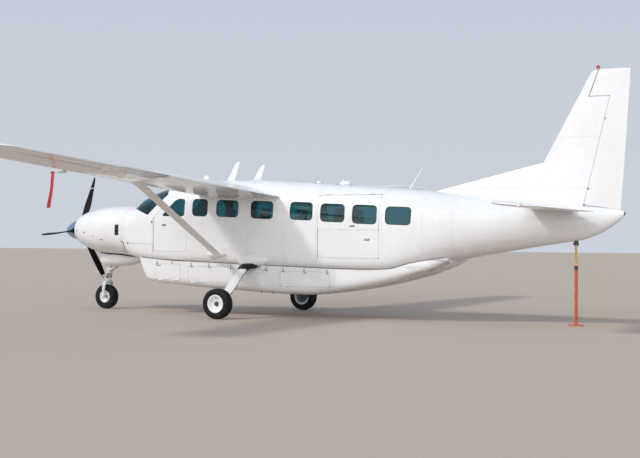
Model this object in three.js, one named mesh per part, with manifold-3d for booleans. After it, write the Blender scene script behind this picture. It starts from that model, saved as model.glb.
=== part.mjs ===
// Single-engine high-wing turboprop aircraft with a cargo pod under its belly, parked on its wheels.
// Lengths are metres: x runs aft from the spinner's tip, y to starboard, z up from the ground.
// The last step turns them to millimetres and moves the origin to the middle of the footprint.
import * as THREE from 'three';
import { mergeVertices } from 'three/addons/utils/BufferGeometryUtils.js';
import Module from 'manifold-3d';

const wasm = await Module();
wasm.setup();

// Main sizes
const overall_length = 12.788;
const half_span = 7.93;
const seam_gap = 0.0003;
const door_gap = 0.006;
const pin_gap = 0.0005;
const swing_gap = 0.010;
const wall = 0.045;
const skin_over_glass = 0.012;
const glass_back = 0.020;
const cowl_wall = 0.030;
const firewall_x = 2.10;
const bulkhead_x = 9.00;
const floor_top = 1.165;
const prop_axis_z = 1.76;
const prop_plane_x = 0.385;
const prop_radius = 1.345;
const prop_lead_deg = 25;
const thrust_line_down_deg = 3.2;
const nose_axle = [1.139, 0, 0.272];
const nose_tyre_radius = 0.272;
const nose_tyre_width = 0.20;
const main_axle = [5.184, 1.775, 0.300];
const main_tyre_radius = 0.300;
const main_tyre_width = 0.22;

// Paints and other finishes
const finish = (r, g, b, roughness, metalness, opacity) => new THREE.MeshStandardMaterial({
  color: new THREE.Color(r, g, b),
  roughness,
  metalness,
  transparent: opacity !== undefined,
  opacity: opacity === undefined ? 1 : opacity,
});
const white_paint = finish(0.86, 0.86, 0.88, 0.32, 0.0);
const teal_glass = finish(0.02, 0.24, 0.27, 0.08, 0.0, 0.6);
const tyre_black = finish(0.02, 0.02, 0.022, 0.8, 0.0);
const blade_black = finish(0.02, 0.02, 0.02, 0.45, 0.0);
const spinner_metal = finish(0.62, 0.66, 0.74, 0.3, 0.8);
const bare_steel = finish(0.45, 0.45, 0.47, 0.4, 0.9);
const engine_grey = finish(0.25, 0.25, 0.27, 0.5, 0.7);
const cabin_grey = finish(0.32, 0.33, 0.35, 0.8, 0.0);
const seat_leather = finish(0.28, 0.27, 0.26, 0.6, 0.0);
const red_glass = finish(0.75, 0.05, 0.04, 0.2, 0.0, 0.8);
const red_cloth = finish(0.75, 0.03, 0.03, 0.9, 0.0);
const stand_orange = finish(0.85, 0.20, 0.05, 0.5, 0.0);

// Solids
function solid(points, triangles) {
  let volume = 0;
  for (let i = 0; i < triangles.length; i += 3) {
    const a = new THREE.Vector3().fromArray(points, 3 * triangles[i]);
    const b = new THREE.Vector3().fromArray(points, 3 * triangles[i + 1]);
    const c = new THREE.Vector3().fromArray(points, 3 * triangles[i + 2]);
    volume += a.dot(b.cross(c)) / 6;
  }
  const out = Uint32Array.from(triangles);
  if (volume < 0) {
    for (let i = 0; i < out.length; i += 3) {
      const keep = out[i];
      out[i] = out[i + 1];
      out[i + 1] = keep;
    }
  }
  const mesh = new wasm.Mesh({ numProp: 3, vertProperties: Float32Array.from(points), triVerts: out });
  return new wasm.Manifold(mesh);
}

function from_geometry(geometry, place) {
  const bare = geometry.clone();
  bare.deleteAttribute('normal');
  bare.deleteAttribute('uv');
  const merged = mergeVertices(bare, 1e-6);
  const source = merged.attributes.position;
  const points = [];
  for (let i = 0; i < source.count; i += 1) {
    points.push(...place(source.getX(i), source.getY(i), source.getZ(i)));
  }
  return solid(points, Array.from(merged.index.array));
}

// A closed body through rings of the same even number of points
function loft(rings) {
  const n = rings[0].length;
  const points = rings.flat(2);
  const triangles = [];
  for (let i = 0; i < rings.length - 1; i += 1) {
    for (let k = 0; k < n; k += 1) {
      const a = i * n + k;
      const b = i * n + ((k + 1) % n);
      const to_port = rings[i][k][1] + rings[i][(k + 1) % n][1] < 0;
      if (to_port) triangles.push(a, b, b + n, a, b + n, a + n);
      else triangles.push(a, b, a + n, b, b + n, a + n);
    }
  }
  const last = (rings.length - 1) * n;
  for (let k = 0; k < n / 2 - 1; k += 1) {
    triangles.push(k, n - 1 - k, k + 1, n - 1 - k, n - 2 - k, k + 1);
    triangles.push(last + k, last + k + 1, last + n - 1 - k);
    triangles.push(last + n - 1 - k, last + k + 1, last + n - 2 - k);
  }
  return solid(points, triangles);
}

// A flat outline in side view (x, z) pushed across from y0 to y1
function side_prism(outline, y0, y1) {
  const shape = new THREE.Shape(outline.map(([x, z]) => new THREE.Vector2(x, z)));
  const geometry = new THREE.ExtrudeGeometry(shape, { depth: y1 - y0, bevelEnabled: false, steps: 1 });
  return from_geometry(geometry, (x, z, y) => [x, y + y0, z]);
}

function box(x0, x1, y0, y1, z0, z1) {
  return side_prism([[x0, z0], [x1, z0], [x1, z1], [x0, z1]], y0, y1);
}

// An outline with its corners rounded
function rounded(corners, radius, steps = 2) {
  const out = [];
  corners.forEach((corner, i) => {
    const here = new THREE.Vector2(...corner);
    const before = new THREE.Vector2(...corners[(i + corners.length - 1) % corners.length]).sub(here);
    const after = new THREE.Vector2(...corners[(i + 1) % corners.length]).sub(here);
    const reach = Math.min(radius, before.length() * 0.45, after.length() * 0.45);
    const from = here.clone().add(before.setLength(reach));
    const to = here.clone().add(after.setLength(reach));
    for (let k = 0; k <= steps; k += 1) {
      const t = k / steps;
      out.push([
        (1 - t) ** 2 * from.x + 2 * t * (1 - t) * here.x + t ** 2 * to.x,
        (1 - t) ** 2 * from.y + 2 * t * (1 - t) * here.y + t ** 2 * to.y,
      ]);
    }
  });
  return out;
}

// A round bar, pipe section or cone from one point to another
function bar(from, to, radius0, radius1 = radius0, sides = 16) {
  const start = new THREE.Vector3(...from);
  const axis = new THREE.Vector3(...to).sub(start);
  const geometry = new THREE.CylinderGeometry(radius1, radius0, axis.length(), sides);
  geometry.translate(0, axis.length() / 2, 0);
  geometry.applyQuaternion(
    new THREE.Quaternion().setFromUnitVectors(new THREE.Vector3(0, 1, 0), axis.clone().normalize()),
  );
  return from_geometry(geometry, (x, y, z) => [x + start.x, y + start.y, z + start.z]);
}

// A turned body: profile of (radius, distance along the axis), axis along x or y
function turned(profile, centre, along, sides) {
  const outline = profile.map(([r, d]) => new THREE.Vector2(r, d));
  const geometry = new THREE.LatheGeometry(outline, sides);
  const [cx, cy, cz] = centre;
  if (along === 'x') return from_geometry(geometry, (x, y, z) => [cx + y, cy + x, cz + z]);
  if (along === 'y') return from_geometry(geometry, (x, y, z) => [cx + x, cy + y, cz + z]);
  return from_geometry(geometry, (x, y, z) => [cx + x, cy + z, cz + y]);
}

// A block given in the frame of a hinge line: along it, away from it and across it
function hinge_block(from, to, aft, along, away, across) {
  const start = new THREE.Vector3(...from);
  const e1 = new THREE.Vector3(...to).sub(start).normalize();
  const e3 = new THREE.Vector3().crossVectors(e1, new THREE.Vector3(...aft)).normalize();
  const e2 = new THREE.Vector3().crossVectors(e3, e1);
  const points = [];
  for (const c of across) {
    for (const b of away) {
      for (const a of along) {
        const p = start.clone().addScaledVector(e1, a).addScaledVector(e2, b).addScaledVector(e3, c);
        points.push(p.x, p.y, p.z);
      }
    }
  }
  return solid(points, [0, 2, 1, 1, 2, 3, 4, 5, 6, 5, 7, 6, 0, 1, 4, 1, 5, 4, 2, 6, 3, 3, 6, 7,
    0, 4, 2, 2, 4, 6, 1, 3, 5, 3, 7, 5]);
}

const union = (...list) => wasm.Manifold.union(list);
const cut = (body, ...tools) => tools.reduce((a, b) => a.subtract(b), body);
const mirror = (body) => body.mirror([0, 1, 0]);

// The same body with a hair of room along the given directions, for cutting neighbours
function with_room(body, directions) {
  return union(body, ...directions.map((d) => body.translate(d.map((v) => v * seam_gap))));
}

// Smooth interpolation of a table's columns along its first column
function table_at(rows, x) {
  let i = 0;
  while (i < rows.length - 2 && x > rows[i + 1][0]) i += 1;
  const h = rows[i + 1][0] - rows[i][0];
  const t = Math.min(1, Math.max(0, (x - rows[i][0]) / h));
  const slope = (j, c) => {
    if (j <= 0 || j >= rows.length - 1) return null;
    const a = (rows[j][c] - rows[j - 1][c]) / (rows[j][0] - rows[j - 1][0]);
    const b = (rows[j + 1][c] - rows[j][c]) / (rows[j + 1][0] - rows[j][0]);
    return a * b <= 0 ? 0 : (2 * a * b) / (a + b);
  };
  return rows[i].map((v0, c) => {
    if (c === 0) return x;
    const v1 = rows[i + 1][c];
    const line = (v1 - v0) / h;
    const m0 = slope(i, c) === null ? line : slope(i, c);
    const m1 = slope(i + 1, c) === null ? line : slope(i + 1, c);
    const t2 = t * t;
    const t3 = t2 * t;
    return v0 * (2 * t3 - 3 * t2 + 1) + v1 * (3 * t2 - 2 * t3) + h * (m0 * (t3 - 2 * t2 + t) + m1 * (t3 - t2));
  });
}

// Body of the aircraft from cowling lip to tail end
// Columns: x, half width, bottom z, top z, squareness of the lower half, squareness of the upper half
const body_rows = [
  [0.46, 0.330, 1.500, 2.005, 2.1, 2.1],
  [0.60, 0.440, 1.410, 2.110, 2.1, 2.1],
  [0.85, 0.535, 1.315, 2.200, 2.2, 2.2],
  [1.20, 0.610, 1.240, 2.255, 2.3, 2.3],
  [1.65, 0.660, 1.215, 2.275, 2.4, 2.4],
  [2.10, 0.710, 1.170, 2.270, 2.8, 2.5],
  [2.22, 0.727, 1.155, 2.280, 4.0, 2.5],
  [2.50, 0.762, 1.125, 2.480, 7.0, 2.6],
  [3.00, 0.800, 1.105, 2.650, 11.0, 2.8],
  [3.50, 0.822, 1.095, 2.725, 13.0, 3.0],
  [4.20, 0.830, 1.075, 2.785, 13.0, 3.0],
  [5.00, 0.830, 1.045, 2.790, 13.0, 3.0],
  [6.40, 0.830, 1.000, 2.710, 13.0, 3.0],
  [7.60, 0.825, 0.975, 2.620, 12.0, 3.0],
  [8.30, 0.810, 0.965, 2.570, 8.0, 2.9],
  [8.70, 0.785, 1.020, 2.535, 5.5, 2.7],
  [9.10, 0.745, 1.090, 2.495, 4.0, 2.5],
  [9.50, 0.690, 1.165, 2.450, 3.0, 2.4],
  [10.2, 0.570, 1.290, 2.380, 2.6, 2.3],
  [11.4, 0.330, 1.490, 2.260, 2.3, 2.2],
  [11.9, 0.215, 1.565, 2.205, 2.2, 2.1],
  [12.25, 0.135, 1.690, 2.165, 2.1, 2.1],
  [12.52, 0.075, 1.855, 2.130, 2.0, 2.0],
  [12.68, 0.030, 2.000, 2.090, 2.0, 2.0],
];
const body_stations = [0.46, 0.53, 0.64, 0.80, 1.0, 1.3, 1.7, 2.1, 2.22, 2.5, 2.75, 3.0, 3.5, 4.2, 5.0,
  6.4, 7.6, 8.3, 8.6, 9.1, 9.6, 10.3, 11.0, 11.4, 11.7, 12.0, 12.25, 12.45, 12.6, 12.68];

function body_ring(x, inset, count = 24) {
  const [, half, bottom, top, low_square, high_square] = table_at(body_rows, x);
  const middle = (bottom + top) / 2;
  const rise = (top - bottom) / 2 - inset;
  const ring = [];
  for (let k = 0; k < count; k += 1) {
    const angle = ((k + 0.5) / count) * 2 * Math.PI;
    const c = Math.cos(angle);
    const s = Math.sin(angle);
    const power = 2 / (s < 0 ? low_square : high_square);
    ring.push([
      x,
      (half - inset) * Math.sign(c) * Math.abs(c) ** power,
      middle + rise * Math.sign(s) * Math.abs(s) ** power,
    ]);
  }
  return ring;
}

// The body between two stations, set in from the skin by inset
const insets = new Map();
function body_piece(x0, x1, inset) {
  if (!insets.has(inset)) {
    const last = inset > 0.02 ? 11.4 : 12.68;
    insets.set(inset, loft(body_stations.filter((x) => x <= last).map((x) => body_ring(x, inset))));
  }
  return insets.get(inset).intersect(box(x0, x1, -1.5, 1.5, 0.5, 3.5));
}
const whole_body = body_piece(0.46, 12.68, 0);
const body_with_room = body_piece(0.46, 12.68, -seam_gap);

// The inside of a closed-in shell, in fewer facets
function hollow(x0, x1, inset) {
  const stations = body_stations.filter((x, i) => x > x0 - 0.01 && x < x1 && (i % 2 === 0 || x < 0.7));
  return loft([x0, ...stations.filter((x) => x > x0 + 0.05), x1].map((x) => body_ring(x, inset, 12)));
}

// How far out a body's surface lies at a station and height
function reach_of(body, x, z) {
  return -body.intersect(box(x - 0.001, x + 0.001, -1.5, 0, z - 0.0005, z + 0.0005)).boundingBox().min[1];
}
const skin_y = (x, z) => reach_of(whole_body, x, z);

const pieces = [];
const dust_volume = 1e-6;
function add(name, body, material) {
  const parts = body.decompose().sort((a, b) => b.volume() - a.volume());
  if (parts.length > 1 && parts[1].volume() > dust_volume) {
    throw new Error(`${name} falls into ${parts.length} bodies`);
  }
  pieces.push([name, parts[0], material]);
}

// Cowling: a shell with a front wall, two air intakes beside the spinner, one below it and a side vent
const intakes = [
  // centre y, centre z, half width, half height
  [-0.315, 1.775, 0.062, 0.105],
  [0.315, 1.775, 0.062, 0.105],
  [0.0, 1.492, 0.170, 0.038],
];
const cowl_shell = cut(
  body_piece(0.46, firewall_x - 0.042, 0),
  hollow(0.49, firewall_x + 0.1, cowl_wall),
  bar([0.3, 0, prop_axis_z], [0.6, 0, prop_axis_z], 0.11, 0.11, 24),
  ...intakes.map(([y, z, a, b]) => loft([0.3, 0.78].map((x) => {
    const ring = [];
    for (let k = 0; k < 16; k += 1) {
      const angle = ((k + 0.5) / 16) * 2 * Math.PI;
      ring.push([x, y + a * Math.cos(angle), z + b * Math.sin(angle)]);
    }
    return ring;
  }))),
  side_prism([[1.82, 1.64], [1.95, 1.64], [1.95, 1.87], [1.82, 1.87]], -1, -0.3),
);
const stack_from = [1.05, 0.34, 1.47];
const stack_way = [0.22, 0.46, -0.17];
const on_stack = (t) => stack_from.map((v, i) => v + stack_way[i] * t);
const exhaust_hole = bar(on_stack(-0.3), on_stack(1.3), 0.1124, 0.1124, 14);
add('cowling', cut(cowl_shell, exhaust_hole), white_paint);
add('firewall', body_piece(firewall_x - 0.0417, firewall_x - seam_gap, 0), white_paint);
const engine = turned(
  [[0, 0.58], [0.17, 0.62], [0.27, 0.80], [0.30, 1.00], [0.30, 1.80], [0.24, 1.98], [0.24, 2.058], [0, 2.058]],
  [0, 0, prop_axis_z], 'x', 14,
);
const shaft = turned([[0, 0.4405], [0.050, 0.4405], [0.050, 0.61], [0, 0.61]], [0, 0, prop_axis_z], 'x', 14);
const stack_outer = bar(on_stack(0), on_stack(1), 0.112, 0.112, 14);
const stack_inner = bar(on_stack(0.3), on_stack(1.2), 0.098, 0.098, 14);
add('exhaust_stack', cut(stack_outer, stack_inner), bare_steel);

// Propeller: three feathered blades on one hub inside a hollow spinner
// Columns: radius, chord, thickness, turn of the chord away from fore-and-aft in degrees, shift aft
const blade_rows = [
  [0.06, 0.090, 0.085, 0, 0],
  [0.30, 0.098, 0.070, 5, 0],
  [0.42, 0.148, 0.048, 6, 0.020],
  [0.60, 0.178, 0.036, 2, 0.035],
  [0.95, 0.158, 0.024, -12, 0.035],
  [1.20, 0.118, 0.017, -20, 0.030],
  [1.30, 0.085, 0.013, -22, 0.025],
  [prop_radius, 0.036, 0.008, -24, 0.015],
];
// The thrust line tips down at the spinner by a few degrees; the spinner's tip stays where it is
const tip_back = prop_plane_x * (1 - Math.cos((thrust_line_down_deg * Math.PI) / 180));
const on_thrust_line = (body) => body.translate([-prop_plane_x, 0, -prop_axis_z])
  .rotate([0, -thrust_line_down_deg, 0]).translate([prop_plane_x - tip_back, 0, prop_axis_z]);
function blade(lead_deg) {
  const rings = blade_rows.map(([r, chord, thickness, turn, shift]) => {
    const ring = [];
    for (let k = 0; k < 10; k += 1) {
      const angle = ((k + 0.5) / 10) * 2 * Math.PI;
      const a = (chord / 2) * Math.cos(angle);
      const b = (thickness / 2) * Math.sin(angle);
      const t = (turn * Math.PI) / 180;
      ring.push([prop_plane_x + shift + a * Math.cos(t) - b * Math.sin(t), a * Math.sin(t) + b * Math.cos(t), r]);
    }
    return ring;
  });
  return loft(rings).rotate([-lead_deg, 0, 0]).translate([0, 0, prop_axis_z]);
}
const hub = turned([[0, 0.27], [0.10, 0.29], [0.105, 0.425], [0.2225, 0.425], [0.2225, 0.440], [0, 0.440]],
  [0, 0, prop_axis_z], 'x', 18);
const blade_leads = [prop_lead_deg, prop_lead_deg + 120, prop_lead_deg + 240];
add('engine_block', union(engine, on_thrust_line(shaft)), engine_grey);
add('propeller_blades', on_thrust_line(union(hub, ...blade_leads.map(blade))), blade_black);
const spinner_profile = [[0, 0], [0.045, 0.018], [0.10, 0.075], [0.155, 0.16], [0.205, 0.27], [0.232, 0.38],
  [0.238, 0.437]];
const spinner_outer = turned([...spinner_profile, [0, 0.437]], [0, 0, prop_axis_z], 'x', 18);
const spinner_inner = turned(
  [[0, 0.04], [0.12, 0.15], [0.20, 0.32], [0.2230, 0.42], [0.2230, 0.50], [0, 0.50]],
  [0, 0, prop_axis_z], 'x', 18,
);
const blade_well = bar([prop_plane_x, 0, 0.13], [prop_plane_x, 0, 0.30], 0.060, 0.072, 10);
const blade_wells = blade_leads.map((lead) => blade_well.rotate([-lead, 0, 0]).translate([0, 0, prop_axis_z]));
add('spinner', on_thrust_line(cut(spinner_outer, spinner_inner, ...blade_wells)), spinner_metal);

// Windows in side view. Columns: first x, last x, low z, high z
const windows = {
  first: [3.95, 4.33, 2.03, 2.39],
  second: [4.54, 5.07, 2.01, 2.36],
  third: [5.36, 5.88, 1.97, 2.33],
  fourth: [6.26, 6.77, 1.94, 2.30],
  fifth: [6.94, 7.47, 1.90, 2.26],
  sixth: [7.63, 8.15, 1.86, 2.23],
  seventh: [8.32, 8.84, 1.84, 2.19],
};
const window_outline = ([x0, x1, z0, z1]) => {
  const fall = 0.042 * (x1 - x0) / 2;
  return rounded([[x0, z0 + fall], [x1, z0 - fall], [x1, z1 - fall], [x0, z1 + fall]], 0.10);
};
const crew_window = rounded([[3.17, 2.04], [3.54, 2.405], [3.76, 2.395], [3.76, 2.03]], 0.08);
const crew_pane = [[3.08, 1.99], [3.51, 2.43], [3.80, 2.43], [3.80, 1.99]];

// Doors in side view, as seen from port
const crew_door = [[2.95, 1.30], [2.95, 1.99], [3.38, 2.435], [3.83, 2.435], [3.83, 1.30]];
const cargo_upper = [[6.88, 1.755], [8.20, 1.755], [8.20, 2.435], [6.88, 2.435]];
const cargo_lower = [[6.88, 1.20], [8.20, 1.20], [8.20, 1.745], [6.88, 1.745]];
const stair_upper = [[7.58, 1.755], [8.20, 1.755], [8.20, 2.435], [7.58, 2.435]];
const stair_lower = [[7.58, 1.20], [8.20, 1.20], [8.20, 1.745], [7.58, 1.745]];

// An outline drawn in by a margin, about the middle of its bounds
function drawn_in(outline, margin) {
  const xs = outline.map((p) => p[0]);
  const zs = outline.map((p) => p[1]);
  const cx = (Math.min(...xs) + Math.max(...xs)) / 2;
  const cz = (Math.min(...zs) + Math.max(...zs)) / 2;
  const sx = 1 - (2 * margin) / (Math.max(...xs) - Math.min(...xs));
  const sz = 1 - (2 * margin) / (Math.max(...zs) - Math.min(...zs));
  return outline.map(([x, z]) => [cx + (x - cx) * sx, cz + (z - cz) * sz]);
}

// Door hinges: one knuckle on the frame and the next on the leaf, both about the hinge line
const knuckle = 0.012;
const knuckle_length = 0.06;
function door_hinges(point, direction, starts) {
  const on_line = (d) => point.map((v, i) => v + direction[i] * d);
  const piece = (d0, d1, r) => bar(on_line(d0), on_line(d1), r, r, 6);
  const list = starts.map((d) => {
    const middle = d + knuckle_length;
    const end = middle + knuckle_length;
    return {
      frame_add: piece(d, middle - pin_gap, knuckle),
      frame_cut: piece(middle - 0.5 * pin_gap, end + 0.006, knuckle + 0.006),
      leaf_add: piece(middle, end, knuckle),
      leaf_cut: piece(d - 0.006, middle, knuckle + 0.006),
    };
  });
  return {
    frame: (body) => union(cut(body, ...list.map((h) => h.frame_cut)), ...list.map((h) => h.frame_add)),
    leaf: (body) => union(cut(body, ...list.map((h) => h.leaf_cut)), ...list.map((h) => h.leaf_add)),
  };
}
const crew_hinges = door_hinges([2.954, -(skin_y(2.954, 1.6) - 0.002), 1.40], [0, 0, 1], [0, 0.36]);
// A hinge line that follows the skin between two stations at one height
function skin_line(x0, x1, z, half = skin_y, out = -0.002) {
  const from = [x0, -(half(x0, z) + out), z];
  const slope = (half(x0, z) - half(x1, z)) / (x1 - x0);
  const way = new THREE.Vector3(1, slope, 0).normalize();
  return [from, way.toArray()];
}
const cargo_top_line = skin_line(7.0, 8.1, 2.440, skin_y, 0.004);
const stair_top_line = skin_line(7.64, 8.12, 2.440, skin_y, 0.002);
const cargo_top_hinges = door_hinges(...cargo_top_line, [0, 0.92]);
const cargo_low_hinges = door_hinges([6.884, -(skin_y(6.884, 1.5) - 0.002), 1.26], [0, 0, 1], [0, 0.30]);
const stair_top_hinges = door_hinges(...stair_top_line, [0, 0.36]);
const stair_low_hinges = door_hinges(...skin_line(7.64, 8.12, 1.204), [0, 0.36]);

// Cabin shell, split into roof, two side walls and floor
const cabin_end = bulkhead_x + 0.04;
const cabin_skin = body_piece(firewall_x, cabin_end, 0);
const cabin_shell = cut(cabin_skin, body_piece(firewall_x - 0.1, cabin_end + 0.1, wall));
const waist = [[2.0, 2.02], [2.86, 2.02], [3.31, 2.47], [9.2, 2.47]];
const above_waist = [...waist, [9.2, 3.3], [2.0, 3.3]];
const below_waist = [[2.0, floor_top + seam_gap], ...waist.map(([x, z]) => [x, z - seam_gap]),
  [9.2, floor_top + seam_gap]];

// Windshield: two panes either side of a centre post
const pane_outline = [[2.21, 2.236], [2.50, 2.165], [2.80, 2.055], [3.26, 2.49], [3.22, 2.56], [3.02, 2.80],
  [2.21, 2.80]];
const pane_hole = side_prism(pane_outline, 0.028, 1.0);
const roof_shell = cut(
  cabin_shell.intersect(side_prism(above_waist, -1, 1)),
  pane_hole,
  mirror(pane_hole),
);
// Aerials on the roof. Columns: foot x, foot z, top x, top z, foot chord, top chord, half thickness
const aerials = [
  [4.26, 2.75, 4.52, 3.19, 0.20, 0.09, 0.014],
  [4.90, 2.75, 5.13, 3.11, 0.20, 0.09, 0.014],
  [3.60, 2.68, 3.72, 2.92, 0.26, 0.10, 0.030],
  [6.40, 2.68, 6.45, 2.745, 0.16, 0.10, 0.060],
  [6.90, 2.64, 7.00, 2.735, 0.32, 0.20, 0.090],
  [8.45, 2.53, 8.77, 2.98, 0.035, 0.016, 0.008],
];
const aerial_bodies = aerials.map(([x0, z0, x1, z1, c0, c1, half]) => loft([
  [x0, z0, c0, half],
  [x1, z1, c1, half * 0.6],
].map(([x, z, chord, t]) => {
  const ring = [];
  for (let k = 0; k < 8; k += 1) {
    const angle = ((k + 0.5) / 8) * 2 * Math.PI;
    ring.push([x + (chord / 2) * (1 + Math.cos(angle)), t * Math.sin(angle), z]);
  }
  return ring;
})));
const aerials_outside = aerial_bodies.map((b) => cut(b, body_piece(3.2, 9.0, 0.02)));
add('cabin_roof', union(roof_shell, ...aerials_outside), white_paint);
const pane_layer = cut(body_piece(2.12, 3.5, 0.006), body_piece(2.11, 3.6, 0.016));
const pane = pane_layer.intersect(side_prism(drawn_in(pane_outline, 0.0004), 0.0284, 1.0));
add('windshield_right', pane, teal_glass);
add('windshield_left', mirror(pane), teal_glass);

const under_floor = hollow(5.75, 9.3, 0.03).intersect(box(5.7, 9.4, -1, 1, 0.8, floor_top - 0.03));
// A raised plate behind the seats is the cargo floor
const cargo_floor_top = floor_top + 0.004;
add('cabin_floor', union(
  cut(cabin_skin.intersect(box(2.0, 9.2, -1, 1, 0.8, floor_top)), under_floor),
  box(7.26, 8.70, -0.57, 0.57, floor_top - 0.01, cargo_floor_top),
), white_paint);

// Side walls with door openings and window holes; panes sit in a recess behind the outer skin
const port = (outline) => side_prism(outline, -1.2, -0.30);
const inner_layer = body_piece(firewall_x - 0.1, cabin_end + 0.1, skin_over_glass);
const glass_layer = cut(
  body_piece(2.5, cabin_end + 0.1, skin_over_glass + seam_gap),
  body_piece(2.4, cabin_end + 0.2, glass_back),
);
const walls_below = cabin_shell.intersect(side_prism(below_waist, -1.2, -0.001));

const around = [[1, 0, 0], [-1, 0, 0], [0, 0, 1], [0, 0, -1]];
function side_wall(openings, wall_windows, band) {
  const holes = openings.map(port);
  const recess = inner_layer.intersect(with_room(side_prism(band, -1.2, -0.3), around));
  const window_holes = wall_windows.map((w) => port(window_outline(windows[w])));
  return {
    body: cut(walls_below, ...holes, recess, ...window_holes),
    glass: glass_layer.intersect(side_prism(band, -1.2, -0.3)),
  };
}
const band_low = (x) => 2.03 - 0.0424 * (x - 4.1) - 0.035;
function glass_band(door_x0) {
  return [[3.90, band_low(3.90)], [door_x0 - 0.03, band_low(door_x0)], [door_x0 - 0.03, 2.446], [8.23, 2.446],
    [8.23, band_low(8.25)], [8.89, band_low(8.89)], [8.89, 2.462], [3.90, 2.462]];
}
const left = side_wall([crew_door, cargo_upper, cargo_lower], ['first', 'second', 'third', 'fourth', 'seventh'],
  glass_band(6.88));
const right = side_wall([crew_door, stair_upper, stair_lower],
  ['first', 'second', 'third', 'fourth', 'fifth', 'seventh'], glass_band(7.58));
const between_doors = side_prism([[2.0, 1.741], [9.2, 1.741], [9.2, 1.759], [2.0, 1.759]], -1.2, -0.3);
const left_open = cut(left.body, between_doors.intersect(port([[6.88, 1.7], [8.20, 1.7], [8.20, 1.8],
  [6.88, 1.8]])));
add('cabin_wall_left', crew_hinges.frame(cargo_top_hinges.frame(cargo_low_hinges.frame(left_open))),
  white_paint);
add('cabin_glass_left', left.glass, teal_glass);
const right_open = cut(right.body, between_doors.intersect(port([[7.58, 1.7], [8.20, 1.7],
  [8.20, 1.8], [7.58, 1.8]])));
add('cabin_wall_right', mirror(crew_hinges.frame(stair_top_hinges.frame(stair_low_hinges.frame(right_open)))),
  white_paint);
add('cabin_glass_right', mirror(right.glass), teal_glass);

// Doors, each as thick as the wall
function door(outline, margin, hole, pane_shape) {
  const leaf = cabin_shell.intersect(port(drawn_in(outline, margin)));
  if (!hole) return { leaf };
  const recess = inner_layer.intersect(port(pane_shape));
  return {
    leaf: cut(leaf, recess, port(hole)),
    glass: glass_layer.intersect(port(drawn_in(pane_shape, seam_gap))),
  };
}
const crew = door(crew_door, swing_gap, crew_window, crew_pane);
const crew_leaf = crew_hinges.leaf(crew.leaf);
add('crew_door_left', crew_leaf, white_paint);
add('crew_glass_left', crew.glass, teal_glass);
add('crew_door_right', mirror(crew_leaf), white_paint);
add('crew_glass_right', mirror(crew.glass), teal_glass);
// The hinge line follows the taper of the skin, so an opened leaf runs aft: its rear edge stands back
const top_door_room = port([[6.8, 1.7], [8.186, 1.7], [8.186, 2.5], [6.8, 2.5]]);
const cargo_band = [[6.91, 1.84], [8.17, 1.79], [8.17, 2.30], [6.91, 2.33]];
const cargo_leaf = cabin_shell.intersect(port(drawn_in(cargo_upper, door_gap))).intersect(top_door_room);
add('cargo_door_upper', cargo_top_hinges.leaf(cut(cargo_leaf, inner_layer.intersect(port(cargo_band)),
  port(window_outline(windows.fifth)), port(window_outline(windows.sixth)))), white_paint);
add('cargo_glass', glass_layer.intersect(port(drawn_in(cargo_band, seam_gap))), teal_glass);
add('cargo_door_lower', cargo_low_hinges.leaf(door(cargo_lower, swing_gap).leaf), white_paint);
const stair_top = door(stair_upper, door_gap, window_outline(windows.sixth),
  [[7.605, 1.80], [8.172, 1.80], [8.172, 2.29], [7.605, 2.29]]);
add('stair_door_upper', mirror(stair_top_hinges.leaf(stair_top.leaf.intersect(top_door_room))), white_paint);
add('stair_glass', mirror(stair_top.glass), teal_glass);
// Two steps stand on the inside of the lower stair door
const stair_leaf = door(stair_lower, swing_gap).leaf;
const steps = [1.33, 1.53].map((z) => box(7.64, 8.14, -0.79, -0.60, z, z + 0.03)
  .intersect(body_piece(7.0, 8.6, 0.02)));
add('stair_door_lower', mirror(stair_low_hinges.leaf(union(stair_leaf, ...steps))), white_paint);

// Rear bulkhead and the hollow tail cone behind it
add('rear_bulkhead', body_piece(bulkhead_x, bulkhead_x + 0.02, wall + 2 * seam_gap)
  .intersect(box(8.9, 9.2, -1, 1, floor_top + seam_gap, 3)), cabin_grey);
const tail_x = cabin_end + seam_gap;
add('tail_cone', cut(body_piece(tail_x, 12.68, 0), hollow(tail_x - 0.2, 12.0, 0.013)), white_paint);

// Airfoil ring from the trailing edge over the top to the leading edge and back below
const chord_steps = [1.0, 0.88, 0.72, 0.54, 0.36, 0.20, 0.09, 0.025, 0.0];
function airfoil(thickness, camber) {
  const half = (s) => 5 * thickness * (0.2969 * Math.sqrt(s) - 0.126 * s - 0.3516 * s * s
    + 0.2843 * s ** 3 - 0.1015 * s ** 4) + 0.0022 * s;
  const line = (s) => (s < 0.25 ? camber * (1 - ((0.25 - s) / 0.25) ** 2) : camber * (1 - ((s - 0.25) / 0.75) ** 2));
  const upper = chord_steps.map((s) => [s, line(s) + half(s)]);
  const lower = chord_steps.slice(0, -1).reverse().map((s) => [s, line(s) - half(s)]);
  return [...upper.slice(0, -1), [0.0, 0.004], [0.0, -0.004], ...lower];
}

// Wing. Columns: y, leading edge x, trailing edge x, leading edge z, trailing edge z, thickness, camber
const wing_rows = [
  [0.45, 4.000, 5.990, 2.560, 2.400, 0.17, 0.018],
  [0.85, 4.000, 5.980, 2.575, 2.420, 0.17, 0.018],
  [4.30, 4.185, 5.795, 2.755, 2.662, 0.15, 0.018],
  [7.66, 4.363, 5.612, 2.925, 2.897, 0.12, 0.018],
  [7.80, 4.395, 5.595, 2.950, 2.912, 0.09, 0.030],
  [7.93, 4.560, 5.540, 2.975, 2.935, 0.03, 0.045],
];
function wing_ring([y, xl, xt, zl, zt, thickness, camber]) {
  const chord = Math.hypot(xt - xl, zt - zl);
  return airfoil(thickness, camber).map(([s, h]) => [
    xl + (xt - xl) * s + ((zl - zt) / chord) * h * chord,
    -y,
    zl + (zt - zl) * s + h * chord * ((xt - xl) / chord),
  ]);
}
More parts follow.
